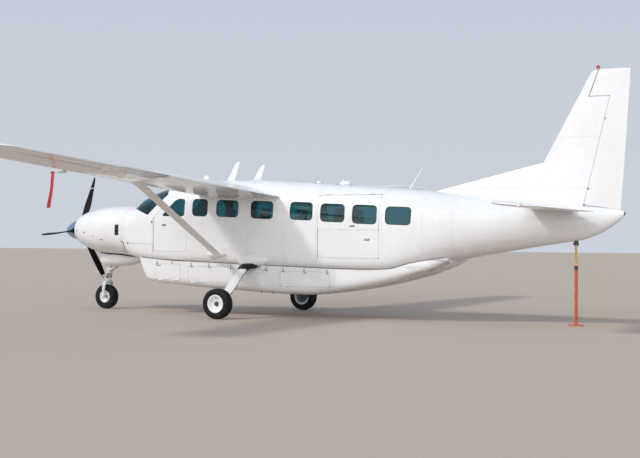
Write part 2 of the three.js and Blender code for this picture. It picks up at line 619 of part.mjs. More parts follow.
// A point of the wing at span y and chord share s, on the lower skin (-1), middle (0) or upper skin (1)
function wing_point(y, s, side) {
  const [, xl, xt, zl, zt, thickness, camber] = (() => {
    let i = 0;
    while (i < wing_rows.length - 2 && y > wing_rows[i + 1][0]) i += 1;
    const t = (y - wing_rows[i][0]) / (wing_rows[i + 1][0] - wing_rows[i][0]);
    return wing_rows[i].map((v, c) => v + (wing_rows[i + 1][c] - v) * t);
  })();
  const chord = xt - xl;
  const half = 5 * thickness * (0.2969 * Math.sqrt(s) - 0.126 * s - 0.3516 * s * s
    + 0.2843 * s ** 3 - 0.1015 * s ** 4) + 0.0022 * s;
  const line = s < 0.25 ? camber * (1 - ((0.25 - s) / 0.25) ** 2) : camber * (1 - ((s - 0.25) / 0.75) ** 2);
  return {
    at: [xl + chord * s, -y, zl + (zt - zl) * s + (line + side * half) * chord],
    half: half * chord,
  };
}
const wing_whole = cut(loft(wing_rows.map(wing_ring)), body_with_room);

// Flap, hinged along its lower front edge
const flap_from = wing_point(0.98, 0.72, -1).at;
const flap_to = wing_point(5.55, 0.72, -1).at;
const span = (a, b) => new THREE.Vector3(...a).distanceTo(new THREE.Vector3(...b));
const flap_length = span(flap_from, flap_to);
const aft = [1, 0, 0];
const cove_gap = 0.006;
const flap_region = hinge_block(flap_from, flap_to, aft, [0, flap_length], [-0.006, 1.2], [-0.5, 0.5]);
const flap_block = hinge_block(flap_from, flap_to, aft, [0.010, flap_length - 0.010], [0.0, 1.2], [-0.5, 0.5]);

// Hinge brackets: arms that reach to the hinge line in slots of the moving surface
const bracket_half = 0.018;
function brackets(from, to, direction, stations, pin, reach, half_slot) {
  const e1 = new THREE.Vector3(...to).sub(new THREE.Vector3(...from)).normalize();
  const point = (d) => new THREE.Vector3(...from).addScaledVector(e1, d).toArray();
  const inner = bracket_half - pin_gap;
  return {
    arms: stations.flatMap((d) => [
      bar(point(d - inner), point(d + inner), pin, pin, 6),
      hinge_block(from, to, direction, [d - inner, d + inner], [-reach, 0], [-0.7 * pin, 0.7 * pin]),
    ]),
    slots: stations.map((d) => hinge_block(from, to, direction, [d - bracket_half, d + bracket_half],
      [-0.3, pin + 0.006], [-half_slot, half_slot])),
  };
}

// A control surface with a rounded nose that turns in a cove of the surface it hangs on
function hinged_surface(whole, from, to, r0, r1, direction, end_gap, stations) {
  const length = span(from, to);
  const e1 = new THREE.Vector3(...to).sub(new THREE.Vector3(...from)).normalize();
  const point = (d) => new THREE.Vector3(...from).addScaledVector(e1, d).toArray();
  const block = hinge_block(from, to, direction, [end_gap, length - end_gap], [0, 2], [-0.6, 0.6]);
  const region = hinge_block(from, to, direction, [0, length], [-0.5 * Math.min(r0, r1), 2], [-0.6, 0.6]);
  const nose = bar(point(end_gap), point(length - end_gap), r0 * 0.95, r1 * 0.95, 16);
  const cove = bar(from, to, r0 + cove_gap, r1 + cove_gap, 16);
  const { arms, slots } = brackets(from, to, direction, stations, 0.012, Math.max(r0, r1) + 0.03, 0.09);
  return {
    surface: cut(union(whole.intersect(block), nose), ...slots),
    opening: union(region, cove),
    arms,
  };
}
const flap_hinges = brackets(flap_from, flap_to, aft, [0.6, 4.0], 0.012, 0.03, 0.024);
const flap = cut(wing_whole.intersect(flap_block), ...flap_hinges.slots);
const aileron_in = wing_point(5.62, 0.74, 0);
const aileron_out = wing_point(7.60, 0.74, 0);
const aileron = hinged_surface(wing_whole, aileron_in.at, aileron_out.at, aileron_in.half, aileron_out.half,
  aft, 0.010, [0.3, 1.65]);
const wing = union(cut(wing_whole, flap_region, aileron.opening), ...aileron.arms, ...flap_hinges.arms);
add('wing_left', wing, white_paint);
add('wing_right', mirror(wing), white_paint);
add('flap_left', flap, white_paint);
add('flap_right', mirror(flap), white_paint);
add('aileron_left', aileron.surface, white_paint);
add('aileron_right', mirror(aileron.surface), white_paint);

// Wing strut from the lower body side to the wing's lower skin, with a teardrop foot
const strut_foot = [4.60, -0.78, 1.20];
const strut_head = [4.66, -3.86, 2.68];
function strut_ring([x, y, z], chord, thickness) {
  const ring = [];
  for (let k = 0; k < 12; k += 1) {
    const angle = ((k + 0.5) / 12) * 2 * Math.PI;
    const lift = (thickness / 2) * Math.sin(angle);
    ring.push([x + (chord / 2) * Math.cos(angle), y + lift * 0.43, z + lift * 0.90]);
  }
  return ring;
}
const strut_bar = loft([
  strut_ring(strut_foot, 0.20, 0.060),
  strut_ring([4.605, -1.05, 1.33], 0.20, 0.060),
  strut_ring([4.65, -3.55, 2.531], 0.22, 0.062),
  strut_ring(strut_head, 0.34, 0.075),
]);
const foot_fairing = loft([
  [4.30, 0.02, 0.02], [4.40, 0.10, 0.055], [4.56, 0.16, 0.075], [4.74, 0.14, 0.060], [4.90, 0.03, 0.02],
].map(([x, reach, rise]) => {
  const ring = [];
  for (let k = 0; k < 12; k += 1) {
    const angle = ((k + 0.5) / 12) * 2 * Math.PI;
    ring.push([x, -0.80 + reach * Math.cos(angle), 1.225 + rise * Math.sin(angle)]);
  }
  return ring;
}));
const strut = cut(
  union(strut_bar, foot_fairing),
  body_with_room,
  with_room(loft(wing_rows.map(wing_ring)), [[0, 0, -1]]),
);
add('strut_left', strut, white_paint);
add('strut_right', mirror(strut), white_paint);

// Cargo pod. Columns: x, half width, bottom z, top z, squareness
const pod_rows = [
  [2.53, 0.690, 1.120, 1.30, 5.0],
  [2.59, 0.708, 0.960, 1.30, 6.0],
  [2.66, 0.720, 0.805, 1.30, 7.0],
  [2.73, 0.728, 0.708, 1.30, 8.0],
  [2.81, 0.735, 0.660, 1.30, 9.0],
  [3.00, 0.740, 0.638, 1.30, 9.0],
  [3.80, 0.745, 0.565, 1.30, 6.0],
  [4.85, 0.750, 0.510, 1.28, 6.0],
  [5.90, 0.750, 0.460, 1.26, 6.0],
  [6.55, 0.750, 0.450, 1.24, 6.0],
  [6.90, 0.745, 0.480, 1.24, 6.0],
  [7.76, 0.730, 0.605, 1.22, 5.0],
  [8.66, 0.690, 0.810, 1.22, 4.2],
  [9.19, 0.620, 0.980, 1.24, 3.6],
  [9.50, 0.540, 1.120, 1.26, 3.2],
];
const pod_stations = [2.53, 2.59, 2.66, 2.73, 2.81, 3.0, 3.3, 3.8, 4.85, 5.9, 6.25, 6.55, 6.9, 7.3, 7.76, 8.2, 8.66,
  9.0, 9.25, 9.50];
function pod_piece(x0, x1, inset) {
  const stations = [x0, ...pod_stations.filter((x) => x > x0 + 0.02 && x < x1 - 0.02), x1];
  return loft(stations.map((x) => {
    const [, half, bottom, top, square] = table_at(pod_rows, x);
    const rise = (top - bottom) / 2 - inset;
    const ring = [];
    for (let k = 0; k < 20; k += 1) {
      const angle = ((k + 0.5) / 20) * 2 * Math.PI;
      const c = Math.cos(angle);
      const s = Math.sin(angle);
      ring.push([x, (half - inset) * Math.sign(c) * Math.abs(c) ** (2 / square),
        (bottom + top) / 2 + rise * Math.sign(s) * Math.abs(s) ** (2 / square)]);
    }
    return ring;
  }));
}
const pod_outer = cut(pod_piece(2.53, 9.50, 0), body_with_room);
const pod_hold = cut(pod_piece(2.80, 9.10, 0.03), body_piece(1.0, 11.0, -0.030));
const pod_shell = cut(pod_outer, pod_hold);
// Pod doors on the port side. Columns: name, first x, last x, low z, high z, hinge's first x, last x, way out
const pod_doors = [
  ['pod_door_front', 2.98, 3.62, 0.70, 1.04, 3.04, 3.56, 0.002],
  ['pod_door_middle', 3.80, 4.92, 0.66, 1.00, 3.86, 4.86, 0.001],
  ['pod_door_rear', 6.00, 7.12, 0.62, 0.93, 6.06, 6.62, -0.001],
];
const pod_hole = ([, x0, x1, z0, z1], margin) => side_prism(
  [[x0 + margin, z0 + margin], [x1 - margin, z0 + margin], [x1 - margin, z1 - margin], [x0 + margin, z1 - margin]],
  -1.0, -0.60,
);
const pod_y = (x, z) => reach_of(pod_outer, x, z);
const pod_lines = pod_doors.map(([, , , z0, , x0, x1, out]) => skin_line(x0, x1, z0 + 0.003, pod_y, out));
const pod_hinges = pod_doors.map(([, , , , , x0, x1], i) => door_hinges(...pod_lines[i], [0, x1 - x0 - 0.12]));
add('cargo_pod', pod_hinges.reduce((body, h) => h.frame(body), cut(pod_shell,
  ...pod_doors.map((d) => pod_hole(d, 0)))), white_paint);
pod_doors.forEach((row, i) => {
  add(row[0], pod_hinges[i].leaf(pod_shell.intersect(pod_hole(row, door_gap))), white_paint);
});

// Main gear: a flat faired leg, an axle block and a blister where it leaves the body
function slab_ring([x, y, z], chord, thickness, lean) {
  const ring = [];
  for (let k = 0; k < 10; k += 1) {
    const angle = ((k + 0.5) / 10) * 2 * Math.PI;
    const c = (chord / 2) * Math.sign(Math.cos(angle)) * Math.abs(Math.cos(angle)) ** 0.8;
    const t = (thickness / 2) * Math.sin(angle);
    ring.push([x + c, y + t * lean[0], z + t * lean[1]]);
  }
  return ring;
}
const leg = union(
  loft([
    slab_ring([5.23, -0.70, 1.06], 0.24, 0.080, [0.55, 0.84]),
    slab_ring([5.24, -0.93, 0.945], 0.22, 0.070, [0.55, 0.84]),
    slab_ring([5.28, -1.50, 0.560], 0.20, 0.060, [0.60, 0.80]),
    slab_ring([5.27, -1.61, 0.480], 0.16, 0.070, [0.60, 0.80]),
  ]),
  loft([
    slab_ring([5.255, -1.615, 0.53], 0.10, 0.060, [1, 0]),
    slab_ring([5.184, -1.630, 0.25], 0.11, 0.050, [1, 0]),
  ]),
  bar([5.184, -1.60, 0.300], [5.184, -1.7086, 0.300], 0.045, 0.045, 14),
  loft([
    [5.03, 0.02, 0.03], [5.13, 0.10, 0.12], [5.30, 0.14, 0.155], [5.56, 0.10, 0.12], [5.82, 0.01, 0.02],
  ].map(([x, reach, rise]) => {
    const ring = [];
    for (let k = 0; k < 8; k += 1) {
      const angle = ((k + 0.5) / 8) * 2 * Math.PI;
      ring.push([x, -0.80 + reach * Math.cos(angle), 1.145 + rise * Math.sin(angle)]);
    }
    return ring;
  })),
);
const main_leg = cut(leg, body_with_room, with_room(pod_piece(2.53, 9.50, 0), [[0, -1, 0], [0, 1, 0]]));
add('main_leg_left', main_leg, white_paint);
add('main_leg_right', mirror(main_leg), white_paint);

// Wheels: tyre and rim turned as one. Columns of the profile: radius, distance from the middle
function wheel(centre, radius, width, rim, sides) {
  const h = width / 2;
  const profile = [
    [0, -h * 0.60], [0.05, -h * 0.60], [rim * 0.72, -h * 0.45], [rim, -h * 0.80],
    [radius * 0.80, -h], [radius * 0.95, -h * 0.80], [radius, -h * 0.3],
  ];
  const full = [...profile, ...[...profile].reverse().map(([r, d]) => [r, -d])];
  return turned(full, centre, 'y', sides);
}
const [mx, my, mz] = main_axle;
add('main_wheel_left', wheel([mx, -my, mz], main_tyre_radius, main_tyre_width, 0.168, 20), tyre_black);
add('main_wheel_right', wheel([mx, my, mz], main_tyre_radius, main_tyre_width, 0.168, 20), tyre_black);
add('nose_wheel', wheel(nose_axle, nose_tyre_radius, nose_tyre_width, 0.135, 20), tyre_black);

// Nose gear: upper cylinder and drag link stay put, the fork turns about the raked strut line
const rake = 0.118;
const strut_x = (z) => nose_axle[0] + (z - nose_axle[2]) * rake;
const on_strut = (z, y = 0) => [strut_x(z), y, z];
const nose_strut = union(
  bar(on_strut(0.80), on_strut(1.12), 0.060, 0.060, 14),
  bar(on_strut(0.80), on_strut(0.84), 0.070, 0.070, 14),
  bar([strut_x(0.85) + 0.02, -0.05, 0.85], [1.58, -0.05, 1.03], 0.020, 0.020, 10),
  bar([strut_x(0.85) + 0.02, 0.05, 0.85], [1.58, 0.05, 1.03], 0.020, 0.020, 10),
);
const fairing_rows = [
  // x, half width, bottom z, top z
  [0.98, 0.050, 1.060, 1.30],
  [1.05, 0.120, 0.985, 1.30],
  [1.20, 0.185, 0.962, 1.28],
  [1.50, 0.220, 0.955, 1.26],
  [1.85, 0.215, 0.990, 1.22],
  [2.20, 0.170, 1.060, 1.20],
  [2.50, 0.080, 1.105, 1.16],
];
const gear_fairing = cut(
  loft(fairing_rows.map(([x, half, low, high]) => {
    const ring = [];
    for (let k = 0; k < 14; k += 1) {
      const angle = ((k + 0.5) / 14) * 2 * Math.PI;
      ring.push([x, half * Math.sign(Math.cos(angle)) * Math.abs(Math.cos(angle)) ** 0.8,
        (low + high) / 2 + ((high - low) / 2) * Math.sin(angle)]);
    }
    return ring;
  })),
  body_with_room,
  with_room(pod_piece(2.53, 9.50, 0), [[-1, 0, 0]]),
  bar(on_strut(0.90), on_strut(1.125), 0.0603, 0.0603, 14),
  bar([strut_x(0.85) + 0.02, -0.05, 0.85], [1.5803, -0.05, 1.0302], 0.0203, 0.0203, 10),
  bar([strut_x(0.85) + 0.02, 0.05, 0.85], [1.5803, 0.05, 1.0302], 0.0203, 0.0203, 10),
);
add('nose_gear_fairing', gear_fairing, white_paint);
add('nose_strut', nose_strut, bare_steel);
const fork_half = nose_tyre_width / 2 + 0.037;
const fork_legs = [-1, 1].map((side) => union(
  bar([strut_x(0.61), 0, 0.61], [strut_x(0.60), side * (fork_half + 0.01), 0.590], 0.036, 0.030, 8),
  bar([strut_x(0.60), side * fork_half, 0.600], [nose_axle[0], side * fork_half, 0.272], 0.031, 0.026, 8),
  bar([nose_axle[0], side * 0.0604, 0.272], [nose_axle[0], side * (fork_half + 0.026), 0.272], 0.034, 0.034, 10),
));
const nose_fork = union(
  bar(on_strut(0.62), on_strut(0.7996), 0.044, 0.044, 12),
  bar(on_strut(0.57), on_strut(0.66), 0.062, 0.062, 12),
  bar([strut_x(0.66) - 0.05, 0, 0.655], [strut_x(0.73) - 0.14, 0, 0.725], 0.022, 0.016, 6),
  bar([strut_x(0.73) - 0.14, 0, 0.72], [strut_x(0.79) - 0.03, 0, 0.79], 0.016, 0.014, 6),
  ...fork_legs,
);
add('nose_fork', nose_fork, bare_steel);

// Fin with its long dorsal run, and the rudder with a balance horn at the top
// Columns: z, leading edge x, trailing edge x, half thickness
const fin_rows = [
  [1.95, 10.600, 12.600, 0.098],
  [3.00, 11.180, 12.680, 0.076],
  [4.55, 12.034, 12.783, 0.036],
  [4.63, 12.085, 12.788, 0.028],
  [4.67, 12.150, 12.770, 0.010],
];
const fin_steps = [1.0, 0.7, 0.4, 0.18, 0.05, 0.0];
function fin_ring([z, xl, xt, half]) {
  const share = (s) => Math.max(0.045, 3.1 * Math.sqrt(s) * (1 - s) ** 0.9 * 0.78);
  const side = fin_steps.slice(0, -1).map((s) => [xl + (xt - xl) * s, half * Math.min(1, share(s))]);
  const top = side.map(([x, y]) => [x, y, z]);
  const back = [...side].reverse().map(([x, y]) => [x, -y, z]);
  return [...top, [xl, half * 0.03, z], [xl, -half * 0.03, z], ...back];
}
const dorsal = loft([
  // x, top z, half thickness at the foot
  [9.02, 2.50, 0.030], [9.60, 2.635, 0.036], [10.40, 2.82, 0.044], [11.18, 3.00, 0.052], [11.45, 3.05, 0.052],
].map(([x, top, half]) => [
  [x, 0.008, top], [x, half * 0.7, top - 0.03], [x, half, 2.20], [x, -half, 2.20], [x, -half * 0.7, top - 0.03],
  [x, -0.008, top],
]));
const fin_whole = cut(union(loft(fin_rows.map(fin_ring)), dorsal), body_with_room);
const hinge_low = [11.97, 0, 2.21];
const hinge_high = [12.442, 0, 4.19];
const hinge_dir = new THREE.Vector3(...hinge_high).sub(new THREE.Vector3(...hinge_low)).normalize();
const below_low = new THREE.Vector3(...hinge_low).addScaledVector(hinge_dir, -0.30).toArray();
const above_high = new THREE.Vector3(...hinge_high).addScaledVector(hinge_dir, 0.25).toArray();
const rudder_main = hinged_surface(fin_whole, below_low, above_high, 0.073, 0.030, aft, 0.0, [0.6, 1.9]);
const horn_cut = side_prism([[12.030, 4.176], [12.90, 4.176], [12.90, 4.9], [12.285, 4.9]], -0.5, 0.5);
const horn = fin_whole.intersect(
  side_prism([[12.052, 4.190], [12.90, 4.190], [12.90, 4.9], [12.322, 4.9]], -0.5, 0.5),
);
const rudder_floor = side_prism([[11.0, 1.9], [11.0, 2.2975], [11.87, 2.2325], [12.90, 2.0738], [12.90, 1.9]],
  -0.5, 0.5);
const rudder = cut(union(rudder_main.surface, horn), rudder_floor);
add('rudder', rudder, white_paint);
// The fin is hollow, open at its foot. Columns: z, front x, middle x, rear x, half widths at the three
const fin_inside = loft([
  [1.90, 10.90, 11.45, 11.60, 0.060, 0.078, 0.072],
  [4.25, 12.02, 12.20, 12.28, 0.022, 0.028, 0.026],
].map(([z, x0, x1, x2, h0, h1, h2]) => [
  [x2, h2, z], [x1, h1, z], [x0, h0, z], [x0, -h0, z], [x1, -h1, z], [x2, -h2, z],
]));
add('fin', union(cut(fin_whole, rudder_main.opening, horn_cut, fin_inside), ...rudder_main.arms), white_paint);

// Tailplane. Columns: y, leading edge x, trailing edge x, leading edge z, trailing edge z, thickness
const tail_rows = [
  [0.03, 10.970, 12.280, 2.208, 2.070, 0.10],
  [3.02, 11.215, 12.025, 2.179, 2.107, 0.09],
  [3.12, 11.280, 11.990, 2.176, 2.110, 0.05],
];
function tail_ring([y, xl, xt, zl, zt, thickness]) {
  return airfoil(thickness, 0).map(([s, h]) => [xl + (xt - xl) * s, -y, zl + (zt - zl) * s + h * (xt - xl)]);
}
const tail_whole = cut(loft(tail_rows.map(tail_ring)), body_with_room);
const elevator_x = 11.74;
const tail_z = (y) => {
  const t = (y - 0.03) / 2.99;
  const xl = 10.970 + 0.245 * t;
  const xt = 12.280 - 0.255 * t;
  const zl = 2.208 - 0.029 * t;
  const zt = 2.070 + 0.037 * t;
  return zl + (zt - zl) * ((elevator_x - xl) / (xt - xl));
};
const elevator_z = (tail_z(0.3) + tail_z(3.0)) / 2;
const elevator = hinged_surface(tail_whole, [elevator_x, -0.30, elevator_z], [elevator_x, -3.20, elevator_z],
  0.055, 0.0265, aft, 0.0, [0.5, 2.2]);
// The elevators' inner ends are cut on the slant to let the rudder swing
const plan_cut = (rows) => {
  const shape = new THREE.Shape(rows.map(([x, y]) => new THREE.Vector2(x, y)));
  const geometry = new THREE.ExtrudeGeometry(shape, { depth: 1.2, bevelEnabled: false, steps: 1 });
  return from_geometry(geometry, (x, y, z) => [x, y, z + 1.5]);
};
const slant = plan_cut([[11.5, 0.2], [12.6, 0.2], [12.6, -0.58], [11.84, -0.335], [11.5, -0.335]]);
const elevator_left = cut(elevator.surface, slant);
const behind = plan_cut([[11.80, 0.2], [12.6, 0.2], [12.6, -0.60], [11.80, -0.60]]);
// The stabilizers are hollow, open at the root. Columns: y, front x, rear x, middle z, half heights at both
const stabilizer_inside = loft([
  [0.0, 11.13, 11.62, 2.165, 0.040, 0.046],
  [2.90, 11.33, 11.64, 2.152, 0.020, 0.024],
].map(([y, x0, x1, z, h0, h1]) => [
  [x0, -y, z - h0], [x1, -y, z - h1], [x1, -y, z + h1], [x0, -y, z + h0],
]));
const stabilizer = union(cut(tail_whole, elevator.opening, behind, stabilizer_inside), ...elevator.arms);
add('stabilizer_left', stabilizer, white_paint);
add('stabilizer_right', mirror(stabilizer), white_paint);
add('elevator_left', elevator_left, white_paint);
add('elevator_right', mirror(elevator_left), white_paint);

// Stand under the tail: a flat foot, an orange tube, a yellow upper tube and a hook on the tie-down ring
const stand_x = 11.80;
add('tail_stand', cut(union(
  bar([stand_x, 0, 0], [stand_x, 0, 0.012], 0.15, 0.15, 24),
  bar([stand_x, 0, 0.010], [stand_x, 0, 1.05], 0.030, 0.030, 16),
  bar([stand_x, 0, 1.04], [stand_x, 0, 1.50], 0.022, 0.022, 16),
  box(stand_x - 0.04, stand_x + 0.04, -0.006, 0.006, 1.45, 1.58),
), body_with_room), stand_orange);

// Lamp on the fin, and the air-data probe under the port wing with its cover and ribbon
add('beacon_lamp', turned([[0, 0], [0.035, 0], [0.033, 0.05], [0.018, 0.075], [0, 0.078]],
  [12.20, 0, 4.6704], 'z', 12), red_glass);
const probe_at = wing_point(5.50, 0.13, -1).at;
const probe_drop = 0.035;
const ribbon_drop = probe_drop + 0.0137;
const [px, py, pz] = probe_at;
add('air_probe', cut(union(
  bar([px + 0.02, py, pz + 0.03], [px - 0.02, py, pz - probe_drop], 0.016, 0.014, 10),
  bar([px + 0.05, py, pz - probe_drop], [px - 0.30, py, pz - probe_drop], 0.018, 0.012, 12),
), with_room(loft(wing_rows.map(wing_ring)), [[0, 0, -1]])), bare_steel);
add('probe_ribbon', loft([ribbon_drop, ribbon_drop + 0.60].map((down) => [
  [px - 0.28, py - 0.002, pz - down], [px - 0.22, py - 0.002, pz - down],
  [px - 0.22, py + 0.002, pz - down], [px - 0.28, py + 0.002, pz - down],
])), red_cloth);

// Cabin fittings: instrument panel, crew seats, and passenger seats on their floor rails
const panel = cut(
  body_piece(2.66, 2.84, wall + seam_gap * 2).intersect(side_prism(
    [[2.66, 1.55], [2.80, 1.55], [2.76, 2.03], [2.84, 2.07], [2.66, 2.10]], -0.74, 0.74)),
  box(2.0, 3.0, -0.02, 0.02, 1.0, 1.2),
);
add('instrument_panel', panel, cabin_grey);
function seat(x, y, width) {
  const h = width / 2;
  return union(
    side_prism([[x - 0.24, 1.48], [x + 0.24, 1.44], [x + 0.24, 1.56], [x - 0.24, 1.60]], y - h, y + h),
    side_prism([[x + 0.14, 1.50], [x + 0.28, 1.50], [x + 0.42, 2.16], [x + 0.32, 2.18]], y - h, y + h),
    box(x - 0.14, x + 0.16, y - h + 0.06, y + h - 0.06, floor_top + 0.03, 1.50),
  );
}
const rail = (x0, x1, y) => box(x0, x1, y - 0.02, y + 0.02, floor_top + seam_gap, floor_top + 0.04);
const crew_seats = union(
  ...[-0.34, 0.34].map((y) => seat(3.35, y, 0.42)),
  ...[-0.47, -0.21, 0.21, 0.47].map((y) => rail(3.10, 3.62, y)),
  box(3.14, 3.20, -0.48, 0.48, floor_top + 0.02, floor_top + 0.04),
);
add('crew_seats', crew_seats, seat_leather);
const seat_xs = [4.30, 5.15, 6.00, 6.85];
add('passenger_seats', union(
  ...seat_xs.flatMap((x) => [[-0.46, 0.42], [0.37, 0.66]].map(([y, width]) => seat(x, y, width))),
  ...[-0.59, -0.33, 0.14, 0.60].map((y) => rail(4.05, 7.10, y)),
  box(4.10, 4.16, -0.61, 0.62, floor_top + 0.02, floor_top + 0.04),
), seat_leather);

// Everything to millimetres about the middle of the footprint
const group = new THREE.Group();
for (const [name, body, material] of pieces) {
  const mesh = body.getMesh();
  const stride = mesh.numProp;
  const position = new Float32Array((mesh.vertProperties.length / stride) * 3);
  for (let i = 0; i < position.length / 3; i += 1) {
    position[3 * i] = (mesh.vertProperties[stride * i] - overall_length / 2) * 1000;
    position[3 * i + 1] = mesh.vertProperties[stride * i + 1] * 1000;
    position[3 * i + 2] = mesh.vertProperties[stride * i + 2] * 1000;
  }
  const geometry = new THREE.BufferGeometry();
  geometry.setAttribute('position', new THREE.BufferAttribute(position, 3));
  geometry.setIndex(new THREE.BufferAttribute(Uint32Array.from(mesh.triVerts), 1));
  geometry.computeVertexNormals();
  const node = new THREE.Mesh(geometry, material);
  node.name = name;
  group.add(node);
}
export default group;
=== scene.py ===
"""Dressed model of a white single-engine high-wing utility turboprop, parked on its wheels.

Tables give stations in metres: x aft of the spinner's tip, y to starboard, z up from the ground.
"""
import math

import bmesh
import bpy
from mathutils import Matrix, Vector


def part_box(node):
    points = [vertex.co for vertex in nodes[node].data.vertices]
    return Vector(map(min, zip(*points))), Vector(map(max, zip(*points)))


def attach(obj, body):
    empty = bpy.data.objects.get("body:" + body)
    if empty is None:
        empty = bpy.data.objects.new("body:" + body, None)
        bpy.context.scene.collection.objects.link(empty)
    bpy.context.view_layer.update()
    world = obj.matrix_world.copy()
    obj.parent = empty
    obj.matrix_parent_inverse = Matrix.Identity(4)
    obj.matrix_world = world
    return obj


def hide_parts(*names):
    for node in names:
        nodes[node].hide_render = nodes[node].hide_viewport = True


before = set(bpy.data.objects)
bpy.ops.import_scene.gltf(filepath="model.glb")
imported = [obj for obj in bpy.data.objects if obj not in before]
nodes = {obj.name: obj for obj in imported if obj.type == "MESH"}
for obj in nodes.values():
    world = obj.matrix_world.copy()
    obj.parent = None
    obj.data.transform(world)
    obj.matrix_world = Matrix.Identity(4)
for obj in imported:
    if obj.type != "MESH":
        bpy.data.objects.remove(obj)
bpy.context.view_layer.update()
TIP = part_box("spinner")[0].x


def at(x, y, z):
    """A station of the aircraft as a point of the frame."""
    return Vector((TIP + x, y, z))


# Camera, where the photograph was taken: behind the port wing, at eye height

EYE = Vector((11.377, -21.693, 1.577))
YAW, PITCH, ROLL = math.radians(-27.431), math.radians(0.461), math.radians(0.18)
LENS = 67.56


def photo_camera():
    ahead = Vector((math.sin(YAW) * math.cos(PITCH), math.cos(YAW) * math.cos(PITCH), math.sin(PITCH)))
    right = ahead.cross(Vector((0, 0, 1))).normalized()
    up = right.cross(ahead)
    turned_right = right * math.cos(ROLL) + up * math.sin(ROLL)
    turned_up = up * math.cos(ROLL) - right * math.sin(ROLL)
    camera = bpy.data.objects.new("camera", bpy.data.cameras.new("camera"))
    camera.matrix_world = Matrix((turned_right, turned_up, -ahead)).transposed().to_4x4()
    camera.location = EYE
    camera.data.lens = LENS
    camera.data.sensor_width = 36
    camera.data.clip_end = 400
    bpy.context.scene.collection.objects.link(camera)
    bpy.context.scene.camera = camera


photo_camera()

# Node helpers for the finishes


def node(tree, kind, inputs=(), **settings):
    """A shader node with its settings; inputs are values or other nodes' outputs."""
    made = tree.nodes.new(kind)
    for key, value in settings.items():
        setattr(made, key, value)
    for key, value in dict(inputs).items():
        if isinstance(value, bpy.types.NodeSocket):
            tree.links.new(value, made.inputs[key])
        else:
            made.inputs[key].default_value = value
    return made


def maths(tree, operation, *values):
    made = node(tree, "ShaderNodeMath", dict(enumerate(values)), operation=operation)
    return made.outputs[0]


def rgba(color):
    return (*color, 1.0) if len(color) == 3 else color


def mixed(tree, factor, first, second):
    made = node(tree, "ShaderNodeMix", data_type="RGBA")
    for key, value in ((0, factor), (6, first), (7, second)):
        if isinstance(value, bpy.types.NodeSocket):
            tree.links.new(value, made.inputs[key])
        elif key == 0:
            made.inputs[key].default_value = value
        else:
            made.inputs[key].default_value = rgba(value)
    return made.outputs[2]


def span(tree, value, low, high, to_low=0.0, to_high=1.0):
    made = node(tree, "ShaderNodeMapRange", {0: value, 1: low, 2: high, 3: to_low, 4: to_high})
    return made.outputs[0]


class Finish:
    """A material under construction: its shader, and object coordinates split into x, y and z."""

    def __init__(self, name, color, roughness, **sockets):
        self.material = bpy.data.materials.new(name)
        self.material.use_nodes = True
        self.tree = self.material.node_tree
        self.shader = self.tree.nodes["Principled BSDF"]
        self.shader.inputs["Base Color"].default_value = rgba(color)
        self.shader.inputs["Roughness"].default_value = roughness
        for key, value in sockets.items():
            self.shader.inputs[key.replace("_", " ")].default_value = value
        self.place = node(self.tree, "ShaderNodeTexCoord").outputs["Object"]
        split = node(self.tree, "ShaderNodeSeparateXYZ", {0: self.place})
        self.x, self.y, self.z = split.outputs
        self.height = None

    def noise(self, scale, detail=3.0, stretch=None, distortion=0.0):
        place = self.place
        if stretch:
            place = node(self.tree, "ShaderNodeMapping", {"Vector": place, "Scale": stretch}).outputs[0]
        settings = {"Vector": place, "Scale": scale, "Detail": detail, "Distortion": distortion}
        return node(self.tree, "ShaderNodeTexNoise", settings).outputs["Fac"]

    def color(self, socket):
        self.tree.links.new(socket, self.shader.inputs["Base Color"])

    def roughness(self, socket):
        self.tree.links.new(socket, self.shader.inputs["Roughness"])

    def bump(self, height, distance, strength=1.0):
        """Lays one more height over the bumps already there."""
        inputs = {"Height": height, "Distance": distance, "Strength": strength}
        if self.height:
            inputs["Normal"] = self.height
        self.height = node(self.tree, "ShaderNodeBump", inputs).outputs[0]
        self.tree.links.new(self.height, self.shader.inputs["Normal"])

    def any_of(self, lines):
        """One where any of the given masks is one."""
        total = lines[0]
        for line in lines[1:]:
            total = maths(self.tree, "MAXIMUM", total, line)
        return total


# Finishes

PAINT = (0.80, 0.80, 0.795)
PAINT_SHADE = (0.765, 0.76, 0.75)
SEAM_GREY = (0.30, 0.30, 0.31)
DUST = (0.46, 0.41, 0.34)
# Colour of the darker streaks laid on the pod's aft end
STREAK_DARK = (0.22, 0.20, 0.18)
SEAM_WIDTH = 0.0028
RIVET_PITCH, RIVET_INSET, RIVET_RADIUS = 0.032, 0.018, 0.004


